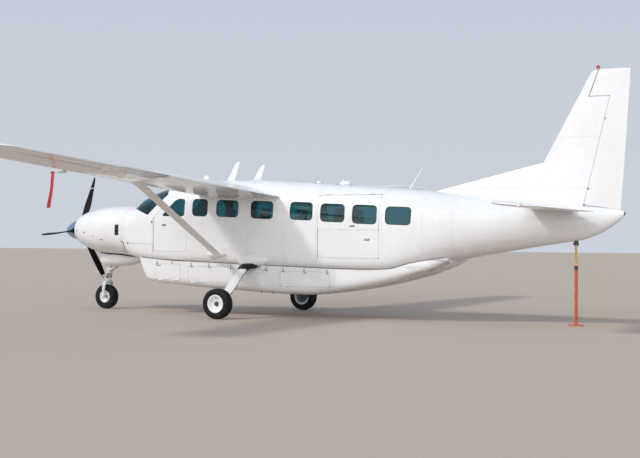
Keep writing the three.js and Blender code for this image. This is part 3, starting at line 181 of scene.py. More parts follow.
def painted_sheet(name, frames=(), longerons=(), dust=0.0, dust_below=None, rivets=True, dark_streak_stations=None):
    """White gloss paint on riveted sheet. Frames are stations of seams across, longerons heights of seams along.
    Dust fades in below a height; darker streaks fade in between two stations."""
    paint = Finish(name, PAINT, 0.26, Coat_Weight=0.35, Coat_Roughness=0.06, Specular_IOR_Level=0.5)
    tree = paint.tree
    tone = span(tree, paint.noise(0.9, 4.0), 0.35, 0.65)
    base = mixed(tree, tone, PAINT_SHADE, PAINT)
    seams, rows = [], []
    beat_z = maths(tree, "FRACT", maths(tree, "DIVIDE", paint.z, RIVET_PITCH))
    beat_x = maths(tree, "FRACT", maths(tree, "DIVIDE", paint.x, RIVET_PITCH))
    for across, places, beat in ((paint.x, [TIP + s for s in frames], beat_z), (paint.z, longerons, beat_x)):
        for place in places:
            seams.append(maths(tree, "COMPARE", across, place, SEAM_WIDTH))
            rows.append(maths(tree, "MULTIPLY", maths(tree, "COMPARE", across, place + RIVET_INSET, RIVET_RADIUS),
                              maths(tree, "COMPARE", beat, 0.5, 0.14)))
    if dust:
        patches = span(tree, paint.noise(5.0, 6.0, stretch=(0.35, 1.0, 1.6), distortion=0.6), 0.42, 0.78)
        amount = maths(tree, "MULTIPLY", patches, dust)
        if dust_below is not None:
            low = span(tree, paint.z, dust_below, dust_below - 0.5)
            amount = maths(tree, "MULTIPLY", amount, low)
        base = mixed(tree, amount, base, DUST)
    # Darker streaks fade in between two stations
    if dark_streak_stations:
        streaks = span(tree, paint.noise(7.0, 4.0, stretch=(0.12, 1.0, 1.4), distortion=0.3), 0.44, 0.66)
        amount = maths(tree, "MULTIPLY", streaks, span(tree, paint.x, TIP + dark_streak_stations[0], TIP + dark_streak_stations[1], 0.0, 0.6))
        base = mixed(tree, amount, base, STREAK_DARK)
    if seams:
        seam = paint.any_of(seams)
        base = mixed(tree, maths(tree, "MULTIPLY", seam, 0.34), base, SEAM_GREY)
        paint.bump(seam, 0.0015, strength=0.6)
        if rivets:
            rivet = paint.any_of(rows)
            base = mixed(tree, maths(tree, "MULTIPLY", rivet, 0.18), base, SEAM_GREY)
            paint.bump(rivet, 0.0008, strength=0.5)
    paint.color(base)
    paint.bump(paint.noise(14.0, 2.0), 0.0004, strength=0.15)
    paint.roughness(span(tree, paint.noise(3.0, 5.0), 0.3, 0.7, 0.20, 0.34))
    return paint.material


def plain_finish(name, color, roughness, grain=40.0, depth=0.0004, vary=0.15, **sockets):
    """A finish whose colour wanders a little and whose surface has a fine grain."""
    made = Finish(name, color, roughness, **sockets)
    tree = made.tree
    dark = tuple(c * (1 - vary) for c in color)
    light = tuple(min(1.0, c * (1 + vary)) for c in color)
    made.color(mixed(tree, span(tree, made.noise(grain * 0.2, 4.0), 0.3, 0.7), dark, light))
    made.roughness(span(tree, made.noise(grain * 0.5, 3.0), 0.3, 0.7, roughness * 0.85, min(1.0, roughness * 1.15)))
    made.bump(made.noise(grain, 3.0), depth, strength=0.6)
    return made.material


def tinted_glass(name, color):
    made = Finish(name, color, 0.02, Transmission_Weight=0.96, IOR=1.45)
    tree = made.tree
    haze = span(tree, made.noise(2.5, 3.0), 0.35, 0.7)
    made.color(mixed(tree, haze, color, tuple(min(1.0, c * 1.35 + 0.01) for c in color)))
    made.roughness(span(tree, made.noise(8.0, 4.0), 0.3, 0.8, 0.02, 0.05))
    return made.material


def rubber(name):
    made = Finish(name, (0.009, 0.009, 0.01), 0.75, Specular_IOR_Level=0.25)
    tree = made.tree
    worn = span(tree, made.noise(9.0, 5.0), 0.4, 0.75)
    made.color(mixed(tree, maths(tree, "MULTIPLY", worn, 0.4), (0.007, 0.007, 0.008), (0.045, 0.042, 0.038)))
    made.bump(made.noise(160.0, 2.0), 0.0006, strength=0.5)
    return made.material


THREADS_PER_METRE = 420.0


def cloth(name, color):
    made = Finish(name, color, 0.85, Sheen_Weight=0.3)
    tree = made.tree
    warp, weft = (node(tree, "ShaderNodeTexWave", {"Vector": made.place, "Scale": THREADS_PER_METRE / 6.28},
                       bands_direction=way).outputs["Fac"] for way in "XZ")
    made.color(mixed(tree, made.noise(12.0, 4.0), tuple(c * 0.75 for c in color), color))
    made.bump(maths(tree, "MAXIMUM", warp, weft), 0.0004, strength=0.6)
    return made.material


def leather(name, color):
    made = Finish(name, color, 0.5)
    tree = made.tree
    cells = node(tree, "ShaderNodeTexVoronoi", {"Vector": made.place, "Scale": 260.0}).outputs["Distance"]
    made.color(mixed(tree, made.noise(6.0, 4.0), tuple(c * 0.75 for c in color), color))
    made.bump(cells, 0.0006, strength=0.4)
    made.roughness(span(tree, made.noise(20.0, 3.0), 0.3, 0.7, 0.42, 0.6))
    return made.material


FINISHES = {
    "fuselage": painted_sheet("fuselage_paint", [2.115, 3.92, 5.28, 6.12, 6.84, 8.26, 9.05, 9.62]),
    "cowl": painted_sheet("cowl_paint", [1.98], [], rivets=False),
    "wing": painted_sheet("wing_paint", dust=0.04),
    "pod": painted_sheet("pod_paint", [3.70, 5.0, 5.95, 7.2], dust=0.12, dust_below=1.05, dark_streak_stations=(8.35, 8.95)),
    "plain": painted_sheet("white_paint"),
    "fin": painted_sheet("fin_paint", [], [2.53, 3.45]),
    "rudder": painted_sheet("rudder_paint", [], [3.85], rivets=False),
    "glass": tinted_glass("teal_glass", (0.012, 0.27, 0.30)),
    "seal": plain_finish("window_seal_rubber", (0.03, 0.032, 0.035), 0.6),
    "seam": plain_finish("seam_grey", (0.16, 0.16, 0.16), 0.8),
    "edge_seal": plain_finish("edge_seal_rubber", (0.82, 0.82, 0.81), 0.7),
    "lining": plain_finish("cabin_lining", (0.06, 0.065, 0.07), 0.85, grain=90.0),
    "steel": plain_finish("brushed_steel", (0.50, 0.50, 0.50), 0.32, grain=120.0, Metallic=0.9),
    "dark_steel": plain_finish("dark_steel", (0.10, 0.10, 0.105), 0.45, grain=120.0, Metallic=0.7),
    "blade": plain_finish("blade_black", (0.006, 0.006, 0.007), 0.5, grain=60.0, vary=0.3, Specular_IOR_Level=0.06),
    "band": plain_finish("blade_band", (0.62, 0.60, 0.52), 0.5),
    # Polished metal whose colour is tinted blue: painted reflection of the sky
    "spinner": plain_finish("spinner_metal_painted_sky_tint", (0.34, 0.44, 0.60), 0.16, grain=200.0, depth=0.0001, Metallic=1.0),
    "rubber": rubber("tyre_rubber"),
    "rim": plain_finish("wheel_rim_paint", (0.86, 0.86, 0.85), 0.38, grain=60.0, vary=0.08),
    "black": plain_finish("matt_black", (0.012, 0.012, 0.013), 0.7),
    "engine": plain_finish("engine_casting", (0.14, 0.14, 0.145), 0.5, grain=80.0, Metallic=0.6),
    "hot": plain_finish("exhaust_metal", (0.30, 0.25, 0.20), 0.38, grain=30.0, vary=0.35, Metallic=0.9),
    "seat": leather("seat_leather", (0.17, 0.17, 0.18)),
    "panel": plain_finish("panel_grey", (0.10, 0.10, 0.105), 0.7, grain=90.0),
    "orange": plain_finish("stand_orange", (0.56, 0.11, 0.02), 0.5, grain=50.0, vary=0.2),
    "yellow": plain_finish("stand_yellow", (0.70, 0.48, 0.12), 0.5, grain=50.0, vary=0.2),
    "beacon": plain_finish("beacon_red", (0.62, 0.03, 0.02), 0.15, grain=60.0, Transmission_Weight=0.3),
    "ribbon": cloth("red_ribbon", (0.62, 0.035, 0.03)),
    "gear": plain_finish("gear_white", (0.66, 0.66, 0.65), 0.35, grain=60.0, vary=0.1),
    "chrome": plain_finish("polished_piston", (0.62, 0.63, 0.64), 0.12, grain=20.0, vary=0.05, Metallic=1.0),
    "screen": plain_finish("dark_screen", (0.01, 0.013, 0.02), 0.08, grain=10.0),
    "carpet": plain_finish("cabin_carpet", (0.07, 0.075, 0.085), 0.95, grain=300.0),
}

# Solid helpers: every shape starts from a circle or a few corners and is extruded into place


def smoothed(bm, sharp_deg=32.0):
    bmesh.ops.recalc_face_normals(bm, faces=bm.faces)
    limit = math.radians(sharp_deg)
    for face in bm.faces:
        face.smooth = True
    for edge in bm.edges:
        edge.smooth = not (edge.is_manifold and edge.calc_face_angle(0.0) > limit)


def piece(name, bm, finish, sharp_deg=32.0):
    """Turns a bmesh into an object of the scene with its finish."""
    smoothed(bm, sharp_deg)
    mesh = bpy.data.meshes.new(name)
    bm.to_mesh(mesh)
    bm.free()
    made = bpy.data.objects.new(name, mesh)
    bpy.context.scene.collection.objects.link(made)
    mesh.materials.append(FINISHES[finish])
    return made


def extruded_ring(bm, ring, points):
    """Extrudes a closed ring of vertices and puts the new ring on the points."""
    edges = [bm.edges.get((ring[i - 1], ring[i])) for i in range(len(ring))]
    made = {v for v in bmesh.ops.extrude_edge_only(bm, edges=edges)["geom"] if isinstance(v, bmesh.types.BMVert)}
    fresh = [next(e.other_vert(v) for e in v.link_edges if e.other_vert(v) in made) for v in ring]
    for vert, point in zip(fresh, points):
        vert.co = point
    return fresh


def loft(rings, bm=None):
    """A body through rings of equally many points, with flat ends."""
    bm = bm or bmesh.new()
    ring = bmesh.ops.create_circle(bm, cap_ends=True, segments=len(rings[0]), radius=1.0)["verts"]
    for vert, point in zip(ring, rings[0]):
        vert.co = point
    for points in rings[1:]:
        ring = extruded_ring(bm, ring, points)
    edges = [bm.edges.get((ring[i - 1], ring[i])) for i in range(len(ring))]
    bmesh.ops.edgeloop_fill(bm, edges=edges)
    return bm


def prism(outline, y0, y1, bm=None):
    """A side-view outline of (x, z) stations pushed across from y0 to y1."""
    return loft([[at(x, y, z) for x, z in outline] for y in (y0, y1)], bm)


def corners_of(x0, x1, z0, z1):
    return [(x0, z0), (x1, z0), (x1, z1), (x0, z1)]


def block(x0, x1, y0, y1, z0, z1, bm=None):
    return prism(corners_of(x0, x1, z0, z1), y0, y1, bm)


def rod(start, end, radius0, radius1=None, sides=24, bm=None):
    """A round bar or cone between two points of the frame."""
    axis = end - start
    turn = axis.to_track_quat("Z", "Y")
    radius1 = radius0 if radius1 is None else radius1
    circle = [Vector((math.cos(2 * math.pi * k / sides), math.sin(2 * math.pi * k / sides), 0)) for k in range(sides)]
    return loft([[p + turn @ (c * r) for c in circle] for p, r in ((start, radius0), (end, radius1))], bm)


def turned_body(profile, centre, along, sides=64, bm=None, ring=False):
    """A lathe body: profile of (radius, distance along the axis), from axis to axis or as a ring."""
    bm = bm or bmesh.new()
    axis = Vector(along).normalized()
    turn = axis.to_track_quat("Z", "Y")
    outline = [bm.verts.new(centre + turn @ Vector((r, 0, d))) for r, d in profile]
    pairs = zip(outline[-1:] + outline, outline) if ring else zip(outline, outline[1:])
    edges = [bm.edges.new(pair) for pair in pairs]
    bmesh.ops.spin(bm, geom=outline + edges, cent=centre, axis=axis, angle=2 * math.pi, steps=sides, use_merge=True)
    bmesh.ops.remove_doubles(bm, verts=bm.verts, dist=1e-6)
    return bm


def scratch(bm, name="tool"):
    bmesh.ops.recalc_face_normals(bm, faces=bm.faces)
    mesh = bpy.data.meshes.new(name)
    bm.to_mesh(mesh)
    bm.free()
    made = bpy.data.objects.new(name, mesh)
    bpy.context.scene.collection.objects.link(made)
    return made


def combined(bm, *steps):
    """Cuts, joins or intersects a body with others: steps are (operation, other body)."""
    body = scratch(bm, "body")
    for operation, other in steps:
        tool = scratch(other) if isinstance(other, bmesh.types.BMesh) else other
        modifier = body.modifiers.new("cut", "BOOLEAN")
        modifier.operation = operation
        modifier.solver = "MANIFOLD"
        modifier.object = tool
        modifier.use_hole_tolerant = False
        result = bpy.data.meshes.new_from_object(body.evaluated_get(bpy.context.evaluated_depsgraph_get()))
        body.modifiers.clear()
        body.data = result
        if isinstance(other, bmesh.types.BMesh):
            bpy.data.objects.remove(tool)
    out = bmesh.new()
    out.from_mesh(body.data)
    bpy.data.objects.remove(body)
    tidy = out.copy()
    bmesh.ops.remove_doubles(tidy, verts=tidy.verts, dist=2e-5)
    bmesh.ops.dissolve_degenerate(tidy, edges=tidy.edges, dist=1e-5)
    if all(edge.is_manifold for edge in tidy.edges):
        out.free()
        return tidy
    tidy.free()
    return out


def cut(bm, *tools):
    """A body less others."""
    return combined(bm, *[("DIFFERENCE", tool) for tool in tools])


def common(bm, *tools):
    """What a body shares with others."""
    return combined(bm, *[("INTERSECT", tool) for tool in tools])


def mirrored(source, name):
    """The same piece on the starboard side."""
    mesh = source.data.copy()
    made = bpy.data.objects.new(name, mesh)
    bpy.context.scene.collection.objects.link(made)
    bm = bmesh.new()
    bm.from_mesh(mesh)
    bmesh.ops.scale(bm, vec=(1, -1, 1), verts=bm.verts)
    bmesh.ops.reverse_faces(bm, faces=bm.faces)
    bm.to_mesh(mesh)
    bm.free()
    return made


def stands_for(made, body, slot, *cad_nodes):
    """Puts a finished piece on its body in place of CAD nodes; its slot is not used."""
    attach(made, body)
    if cad_nodes:
        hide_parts(*cad_nodes)
    return made


def add(name, bm, finish, *cad_nodes, body="airframe", slot="white_paint", sharp_deg=32.0):
    """Makes a piece and puts it on its body in place of CAD nodes; its slot is handed on unused."""
    return stands_for(piece(name, bm, finish, sharp_deg), body, slot, *cad_nodes)


def add_pair(name, bm, finish, cad_node=None, body="airframe"):
    """Makes a port piece and its starboard copy, each in place of its CAD node."""
    made = piece(name, bm, finish)
    twin = mirrored(made, name.replace("left", "right"))
    stands_for(made, body, "white_paint", *([cad_node] if cad_node else []))
    stands_for(twin, body.replace("left", "right"), "white_paint",
               *([cad_node.replace("left", "right")] if cad_node else []))


def rounded(corners, radius, steps=6):
    """An outline with its corners rounded."""
    out = []
    for i, corner in enumerate(corners):
        here = Vector(corner)
        before = Vector(corners[i - 1]) - here
        after = Vector(corners[(i + 1) % len(corners)]) - here
        reach = min(radius, before.length * 0.45, after.length * 0.45)
        start = here + before.normalized() * reach
        end = here + after.normalized() * reach
        for k in range(steps + 1):
            t = k / steps
            out.append(tuple((1 - t) ** 2 * start + 2 * t * (1 - t) * here + t * t * end))
    return out


def drawn_in(outline, margin):
    xs, zs = [p[0] for p in outline], [p[1] for p in outline]
    cx, cz = (min(xs) + max(xs)) / 2, (min(zs) + max(zs)) / 2
    sx = 1 - 2 * margin / (max(xs) - min(xs))
    sz = 1 - 2 * margin / (max(zs) - min(zs))
    return [(cx + (x - cx) * sx, cz + (z - cz) * sz) for x, z in outline]


def table_at(rows, x):
    """Smooth values of a table's columns at x."""
    i = 0
    while i < len(rows) - 2 and x > rows[i + 1][0]:
        i += 1
    h = rows[i + 1][0] - rows[i][0]
    t = min(1.0, max(0.0, (x - rows[i][0]) / h))

    def slope(j, c, line):
        if j <= 0 or j >= len(rows) - 1:
            return line
        a = (rows[j][c] - rows[j - 1][c]) / (rows[j][0] - rows[j - 1][0])
        b = (rows[j + 1][c] - rows[j][c]) / (rows[j + 1][0] - rows[j][0])
        return 0.0 if a * b <= 0 else 2 * a * b / (a + b)

    out = [x]
    for c in range(1, len(rows[0])):
        v0, v1 = rows[i][c], rows[i + 1][c]
        line = (v1 - v0) / h
        m0, m1 = slope(i, c, line), slope(i + 1, c, line)
        out.append(v0 * (2 * t ** 3 - 3 * t * t + 1) + v1 * (3 * t * t - 2 * t ** 3)
                   + h * (m0 * (t ** 3 - 2 * t * t + t) + m1 * (t ** 3 - t * t)))
    return out


def evenly(points, count):
    """The closed outline through the points, as equally spaced points."""
    lengths = [0.0]
    for a, b in zip(points, points[1:] + points[:1]):
        lengths.append(lengths[-1] + (b - a).length)
    out, i = [], 0
    for k in range(count):
        goal = lengths[-1] * k / count
        while lengths[i + 1] < goal:
            i += 1
        share = (goal - lengths[i]) / max(1e-12, lengths[i + 1] - lengths[i])
        out.append(points[i].lerp(points[(i + 1) % len(points)], share))
    return out


# Body of the aircraft from the cowling's lip to the tail's end
# Columns: x, half width, bottom z, top z, squareness of the lower half, squareness of the upper half
BODY_ROWS = [
    (0.46, 0.330, 1.500, 2.005, 2.1, 2.1),
    (0.60, 0.440, 1.410, 2.110, 2.1, 2.1),
    (0.85, 0.535, 1.315, 2.200, 2.2, 2.2),
    (1.20, 0.610, 1.240, 2.255, 2.3, 2.3),
    (1.65, 0.660, 1.215, 2.275, 2.4, 2.4),
    (2.10, 0.710, 1.170, 2.270, 2.8, 2.5),
    (2.22, 0.727, 1.155, 2.280, 4.0, 2.5),
    (2.50, 0.762, 1.125, 2.480, 7.0, 2.6),
    (3.00, 0.800, 1.105, 2.650, 11.0, 2.8),
    (3.50, 0.822, 1.095, 2.725, 13.0, 3.0),
    (4.20, 0.830, 1.075, 2.785, 13.0, 3.0),
    (5.00, 0.830, 1.045, 2.790, 13.0, 3.0),
    (6.40, 0.830, 1.000, 2.710, 13.0, 3.0),
    (7.60, 0.825, 0.975, 2.620, 12.0, 3.0),
    (8.30, 0.810, 0.965, 2.570, 8.0, 2.9),
    (8.70, 0.785, 1.020, 2.535, 5.5, 2.7),
    (9.10, 0.745, 1.090, 2.495, 4.0, 2.5),
    (9.50, 0.690, 1.165, 2.450, 3.0, 2.4),
    (10.2, 0.570, 1.290, 2.380, 2.6, 2.3),
    (11.4, 0.330, 1.490, 2.260, 2.3, 2.2),
    (11.9, 0.215, 1.565, 2.205, 2.2, 2.1),
    (12.25, 0.135, 1.690, 2.165, 2.1, 2.1),
    (12.52, 0.075, 1.855, 2.130, 2.0, 2.0),
    (12.68, 0.030, 2.000, 2.090, 2.0, 2.0),
]
RING_POINTS = 96
FIREWALL_X, CABIN_END, TAIL_END = 2.10, 9.04, 12.68
WALL, SKIN_OVER_GLASS, GLASS_BACK = 0.045, 0.012, 0.020
SEAM, DOOR_GAP, SWING_GAP = 0.0003, 0.006, 0.010
LINING_DEPTH = 0.013
FLOOR_TOP = 1.165
PROP_AXIS_Z = 1.76
PROP_FOOT = at(0, 0, PROP_AXIS_Z)


def squared(value, power):
    """A cosine or sine bent so that its circle squares off."""
    return math.copysign(abs(value) ** power, value)


def section_point(x, inset, angle):
    _, half, bottom, top, low_square, high_square = table_at(BODY_ROWS, x)
    c, s = math.cos(angle), math.sin(angle)
    power = 2 / (low_square if s < 0 else high_square)
    rise = (top - bottom) / 2 - inset
    return at(x, (half - inset) * squared(c, power), (bottom + top) / 2 + rise * squared(s, power))


def body_ring(x, inset=0.0, count=RING_POINTS):
    """The body's section at a station, set in from the skin, from the keel round by starboard."""
    dense = [section_point(x, inset, -math.pi / 2 + 2 * math.pi * k / 240) for k in range(240)]
    return evenly(dense, count)


def within_body(point, inset):
    """Whether a point of the frame lies deeper than inset under the skin."""
    x = point.x - TIP
    _, half, bottom, top, low_square, high_square = table_at(BODY_ROWS, min(max(x, 0.46), TAIL_END))
    high = point.z - (bottom + top) / 2
    n = high_square if high > 0 else low_square
    rise = (top - bottom) / 2
    return abs(point.y / (half - inset)) ** n + abs(high / (rise - inset)) ** n < 1


def stations(x0, x1, pitch):
    count = max(1, math.ceil((x1 - x0) / pitch))
    return [x0 + (x1 - x0) * k / count for k in range(count + 1)]


def body_part(x0, x1, inset=0.0, pitch=0.10, count=RING_POINTS):
    return loft([body_ring(x, inset, count) for x in stations(x0, x1, pitch)])


# Windows in side view. Columns: first x, last x, low z, high z
WINDOWS = {
    "first": (3.95, 4.33, 2.03, 2.39),
    "second": (4.54, 5.07, 2.01, 2.36),
    "third": (5.36, 5.88, 1.97, 2.33),
    "fourth": (6.26, 6.77, 1.94, 2.30),
    "fifth": (6.94, 7.47, 1.90, 2.26),
    "sixth": (7.63, 8.15, 1.86, 2.23),
    "seventh": (8.32, 8.84, 1.84, 2.19),
}
# A pane's corner radius, and the slope of its upper and lower edges
PANE_CORNER, PANE_FALL = 0.10, 0.042
CREW_WINDOW = rounded([(3.17, 2.04), (3.54, 2.405), (3.76, 2.395), (3.76, 2.03)], 0.08)
CREW_DOOR = [(2.95, 1.30), (2.95, 1.99), (3.38, 2.435), (3.83, 2.435), (3.83, 1.30)]
CARGO_UPPER = [(6.88, 1.755), (8.20, 1.755), (8.20, 2.435), (6.88, 2.435)]
CARGO_LOWER = [(6.88, 1.20), (8.20, 1.20), (8.20, 1.745), (6.88, 1.745)]
STAIR_UPPER = [(7.58, 1.755), (8.20, 1.755), (8.20, 2.435), (7.58, 2.435)]
STAIR_LOWER = [(7.58, 1.20), (8.20, 1.20), (8.20, 1.745), (7.58, 1.745)]
WINDSHIELD = [(2.21, 2.236), (2.50, 2.165), (2.80, 2.055), (3.26, 2.49), (3.22, 2.56), (3.02, 2.80), (2.21, 2.80)]
TOP_DOOR_REAR = 8.186


def window_outline(name):
    x0, x1, z0, z1 = WINDOWS[name]
    fall = PANE_FALL * (x1 - x0) / 2
    return rounded([(x0, z0 + fall), (x1, z0 - fall), (x1, z1 - fall), (x0, z1 + fall)], PANE_CORNER)


def side_tools(outlines, side):
    """Prisms through one side of the body, as one cutting body; side is -1 for port."""
    bm = bmesh.new()
    for outline in outlines:
        prism(outline, side * 1.2, side * 0.30, bm)
    return bm


def with_lining(made):
    """Gives the inner faces of a thick shell the lining's finish."""
    made.data.materials.append(FINISHES["lining"])
    for polygon in made.data.polygons:
        if within_body(polygon.center, LINING_DEPTH):
            polygon.material_index = 1
    return made


# Fuselage: cabin and tail in one smooth skin with its doors, panes and seals

LEFT_WINDOWS = ["first", "second", "third", "fourth", "seventh"]
RIGHT_WINDOWS = ["first", "second", "third", "fourth", "fifth", "seventh"]
PORT, STARBOARD = -1, 1
SIDE_WORD = {PORT: "left", STARBOARD: "right"}
DOORS = {
    # name: (side, outline, margin, windows in it, CAD glass)
    "crew_door_left": (PORT, CREW_DOOR, SWING_GAP, ["crew"], "crew_glass_left"),
    "crew_door_right": (STARBOARD, CREW_DOOR, SWING_GAP, ["crew"], "crew_glass_right"),
    "cargo_door_upper": (PORT, CARGO_UPPER, DOOR_GAP, ["fifth", "sixth"], "cargo_glass"),
    "cargo_door_lower": (PORT, CARGO_LOWER, SWING_GAP, [], None),
    "stair_door_upper": (STARBOARD, STAIR_UPPER, DOOR_GAP, ["sixth"], "stair_glass"),
    "stair_door_lower": (STARBOARD, STAIR_LOWER, SWING_GAP, [], None),
}


# Strips along the hinged edges, where the flush seals leave room for the knuckles
HINGE_EDGES = {
    "crew_door_left": (2.80, 2.968, 1.0, 2.7),
    "crew_door_right": (2.80, 2.968, 1.0, 2.7),
    "cargo_door_upper": (6.7, 8.4, 2.418, 2.7),
    "cargo_door_lower": (6.7, 6.898, 1.0, 2.0),
    "stair_door_upper": (7.4, 8.4, 2.418, 2.7),
    "stair_door_lower": (7.4, 8.4, 1.0, 1.222),
}


def pane_outline(name):
    return drawn_in(CREW_WINDOW, 0) if name == "crew" else window_outline(name)


def layer(x0, x1, outer, inner, pitch=0.2, count=64):
    """A thin layer of the body between two depths under the skin."""
    return cut(body_part(x0, x1, outer, pitch, count), body_part(x0 - 0.1, x1 + 0.1, inner, pitch, count))


# The flush seal's distance from the frame, and how far it runs on across the rear gap and the waist gap
SEAL_CLEARANCE, REAR_REACH, WAIST_REACH = 0.0022, 0.006, 0.0125

# How far a pane and its recess lap past the opening, and how far its seal shows in it
PANE_LAP, RECESS_LAP, SEAL_SHOWS = 0.0125, 0.014, 0.007


def make_fuselage():
    shell = cut(body_part(FIREWALL_X, TAIL_END, pitch=0.085),
                body_part(FIREWALL_X - 0.1, CABIN_END - 0.05, WALL, 0.2, 64),
                body_part(CABIN_END - 0.06, 12.0, 0.013, 0.2, 64))
    cabin_shell = cut(body_part(2.85, 8.95, pitch=0.085), body_part(2.75, 9.05, WALL, 0.2, 64))
    glass = layer(2.3, 9.0, SKIN_OVER_GLASS + 0.0005, GLASS_BACK)
    seal = layer(2.3, 9.0, 0.003, SKIN_OVER_GLASS)
    lip_layer = layer(2.85, 8.95, 0.0175, 0.0205, 0.1, 96)
    flush_layer = layer(2.85, 8.95, 0.003, 0.006, 0.1, 96)
    holes = {side: [pane_outline(w) for w in (LEFT_WINDOWS if side == PORT else RIGHT_WINDOWS)]
             for side in (PORT, STARBOARD)}
    recesses = {side: [drawn_in(o, -RECESS_LAP) for o in holes[side]] for side in holes}
    recess_layer = body_part(2.3, 9.0, SKIN_OVER_GLASS, 0.2, 64)
    steps = []
    for side in (PORT, STARBOARD):
        openings = [outline for s, outline, *_ in DOORS.values() if s == side]
        openings.append(corners_of(6.88 if side == PORT else 7.58, 8.20, 1.70, 1.80))
        for outline in openings:
            steps.append(("DIFFERENCE", side_tools([outline], side)))
        steps.append(("DIFFERENCE", side_tools(holes[side], side)))
        steps.append(("DIFFERENCE", common(recess_layer.copy(), side_tools(recesses[side], side))))
    for side in (PORT, STARBOARD):
        pane_hole = prism(WINDSHIELD, side * 0.028, side * 1.0)
        steps.append(("DIFFERENCE", pane_hole))
    skin = combined(shell, *steps)
    bmesh.ops.bisect_plane(skin, geom=skin.verts[:] + skin.edges[:] + skin.faces[:], plane_co=at(CABIN_END, 0, 0),
                           plane_no=(1, 0, 0))
    made = with_lining(piece("fuselage_skin", skin, "fuselage"))
    stands_for(made, "airframe", "white_paint", "cabin_roof", "cabin_wall_left", "cabin_wall_right", "tail_cone")

    for side in (PORT, STARBOARD):
        word = SIDE_WORD[side]
        panes = common(glass.copy(), side_tools([drawn_in(o, -PANE_LAP) for o in holes[side]], side))
        add(f"cabin_panes_{word}", panes, "glass", f"cabin_glass_{word}", slot="teal_glass")
        rim = combined(seal.copy(), ("INTERSECT", side_tools(holes[side], side)),
                       ("DIFFERENCE", side_tools([drawn_in(o, SEAL_SHOWS) for o in holes[side]], side)))
        add(f"cabin_seals_{word}", rim, "seal", slot="teal_glass")

    for name, (side, outline, margin, panes_in, glass_node) in DOORS.items():
        leaf_outline = rounded([(min(x, TOP_DOOR_REAR), z) if margin == DOOR_GAP else (x, z)
                                for x, z in drawn_in(outline, margin)], 0.03, 4)
        steps = [("INTERSECT", side_tools([leaf_outline], side))]
        for pane in panes_in:
            hole = pane_outline(pane)
            steps.append(("DIFFERENCE", common(recess_layer.copy(), side_tools([drawn_in(hole, -RECESS_LAP)], side))))
            steps.append(("DIFFERENCE", side_tools([hole], side)))
        leaf = with_lining(piece(name + "_leaf", combined(cabin_shell.copy(), *steps), "fuselage"))
        stands_for(leaf, name, "white_paint", name)
        hinge_edge = side_tools([corners_of(*HINGE_EDGES[name])], side)
        strip = combined(lip_layer.copy(), ("INTERSECT", side_tools([drawn_in(outline, -0.003)], side)),
                         ("DIFFERENCE", side_tools([drawn_in(leaf_outline, -0.0015)], side)),
                         ("INTERSECT", hinge_edge.copy()))
        add(name + "_hinge_seal", strip, "edge_seal")
        flush_outline = drawn_in(leaf_outline, SEAL_CLEARANCE - margin)
        if margin == DOOR_GAP:
            flush_outline = [(x + REAR_REACH if x > 8.15 else x, z - WAIST_REACH if z < 1.80 else z)
                             for x, z in flush_outline]
        flush = combined(flush_layer.copy(), ("INTERSECT", side_tools([flush_outline], side)),
                         ("DIFFERENCE", side_tools([drawn_in(leaf_outline, 0.0002)], side)),
                         ("DIFFERENCE", hinge_edge))
        add(name + "_flush_seal", flush, "edge_seal", body=name)
        if panes_in:
            outlines = [pane_outline(p) for p in panes_in]
            pane = common(glass.copy(), side_tools([drawn_in(o, -PANE_LAP) for o in outlines], side))
            add(glass_node + "_pane", pane, "glass", glass_node, body=name, slot="teal_glass")
            rim = combined(seal.copy(), ("INTERSECT", side_tools(outlines, side)),
                           ("DIFFERENCE", side_tools([drawn_in(o, SEAL_SHOWS) for o in outlines], side)))
            add(name + "_seal", rim, "seal", body=name, slot="teal_glass")


# Louvre in the cowling's side: first x, last x, low z, high z
LOUVRE = (1.855, 1.970, 1.64, 1.868)

# Air intakes. Columns: centre y, centre z, half width, half height
INTAKES = [(-0.315, 1.775, 0.062, 0.105), (0.315, 1.775, 0.062, 0.105), (0.0, 1.492, 0.170, 0.038)]


def intake_body(y, z, half_y, half_z, x0, x1):
    turns = [2 * math.pi * k / 40 for k in range(40)]
    return loft([[at(x, y + half_y * math.cos(a), z + half_z * math.sin(a)) for a in turns] for x in (x0, x1)])


def make_cowling():
    rings = [body_ring(0.485, 0.045), body_ring(0.464, 0.022), body_ring(0.460, 0.010), body_ring(0.466, 0.002)]
    rings += [body_ring(x) for x in stations(0.49, FIREWALL_X - 0.042, 0.06)]
    inner = [body_ring(x, 0.03) for x in stations(0.50, FIREWALL_X + 0.1, 0.12)]
    steps = [("DIFFERENCE", loft(inner))]
    steps.append(("DIFFERENCE", rod(at(0.3, 0, PROP_AXIS_Z), at(0.6, 0, PROP_AXIS_Z), 0.11, sides=48)))
    for y, z, half_y, half_z in INTAKES:
        steps.append(("DIFFERENCE", intake_body(y, z, half_y, half_z, 0.3, 0.78)))
    steps.append(("DIFFERENCE", block(LOUVRE[0], LOUVRE[1], -1.0, -0.3, LOUVRE[2], LOUVRE[3])))
    steps.append(("DIFFERENCE", rod(stack_point(-0.3), stack_point(1.3), 0.1124, sides=48)))
    made = piece("cowling_skin", combined(loft(rings), *steps), "cowl")
    stands_for(made, "airframe", "white_paint", "cowling")
    band = combined(body_part(FIREWALL_X - 0.0395, FIREWALL_X - 0.002, 0.0025, 0.1))
    add("firewall_band", band, "plain", "firewall")


def stack_point(t):
    return at(1.05 + 0.22 * t, 0.34 + 0.46 * t, 1.47 - 0.17 * t)


make_fuselage()
make_cowling()


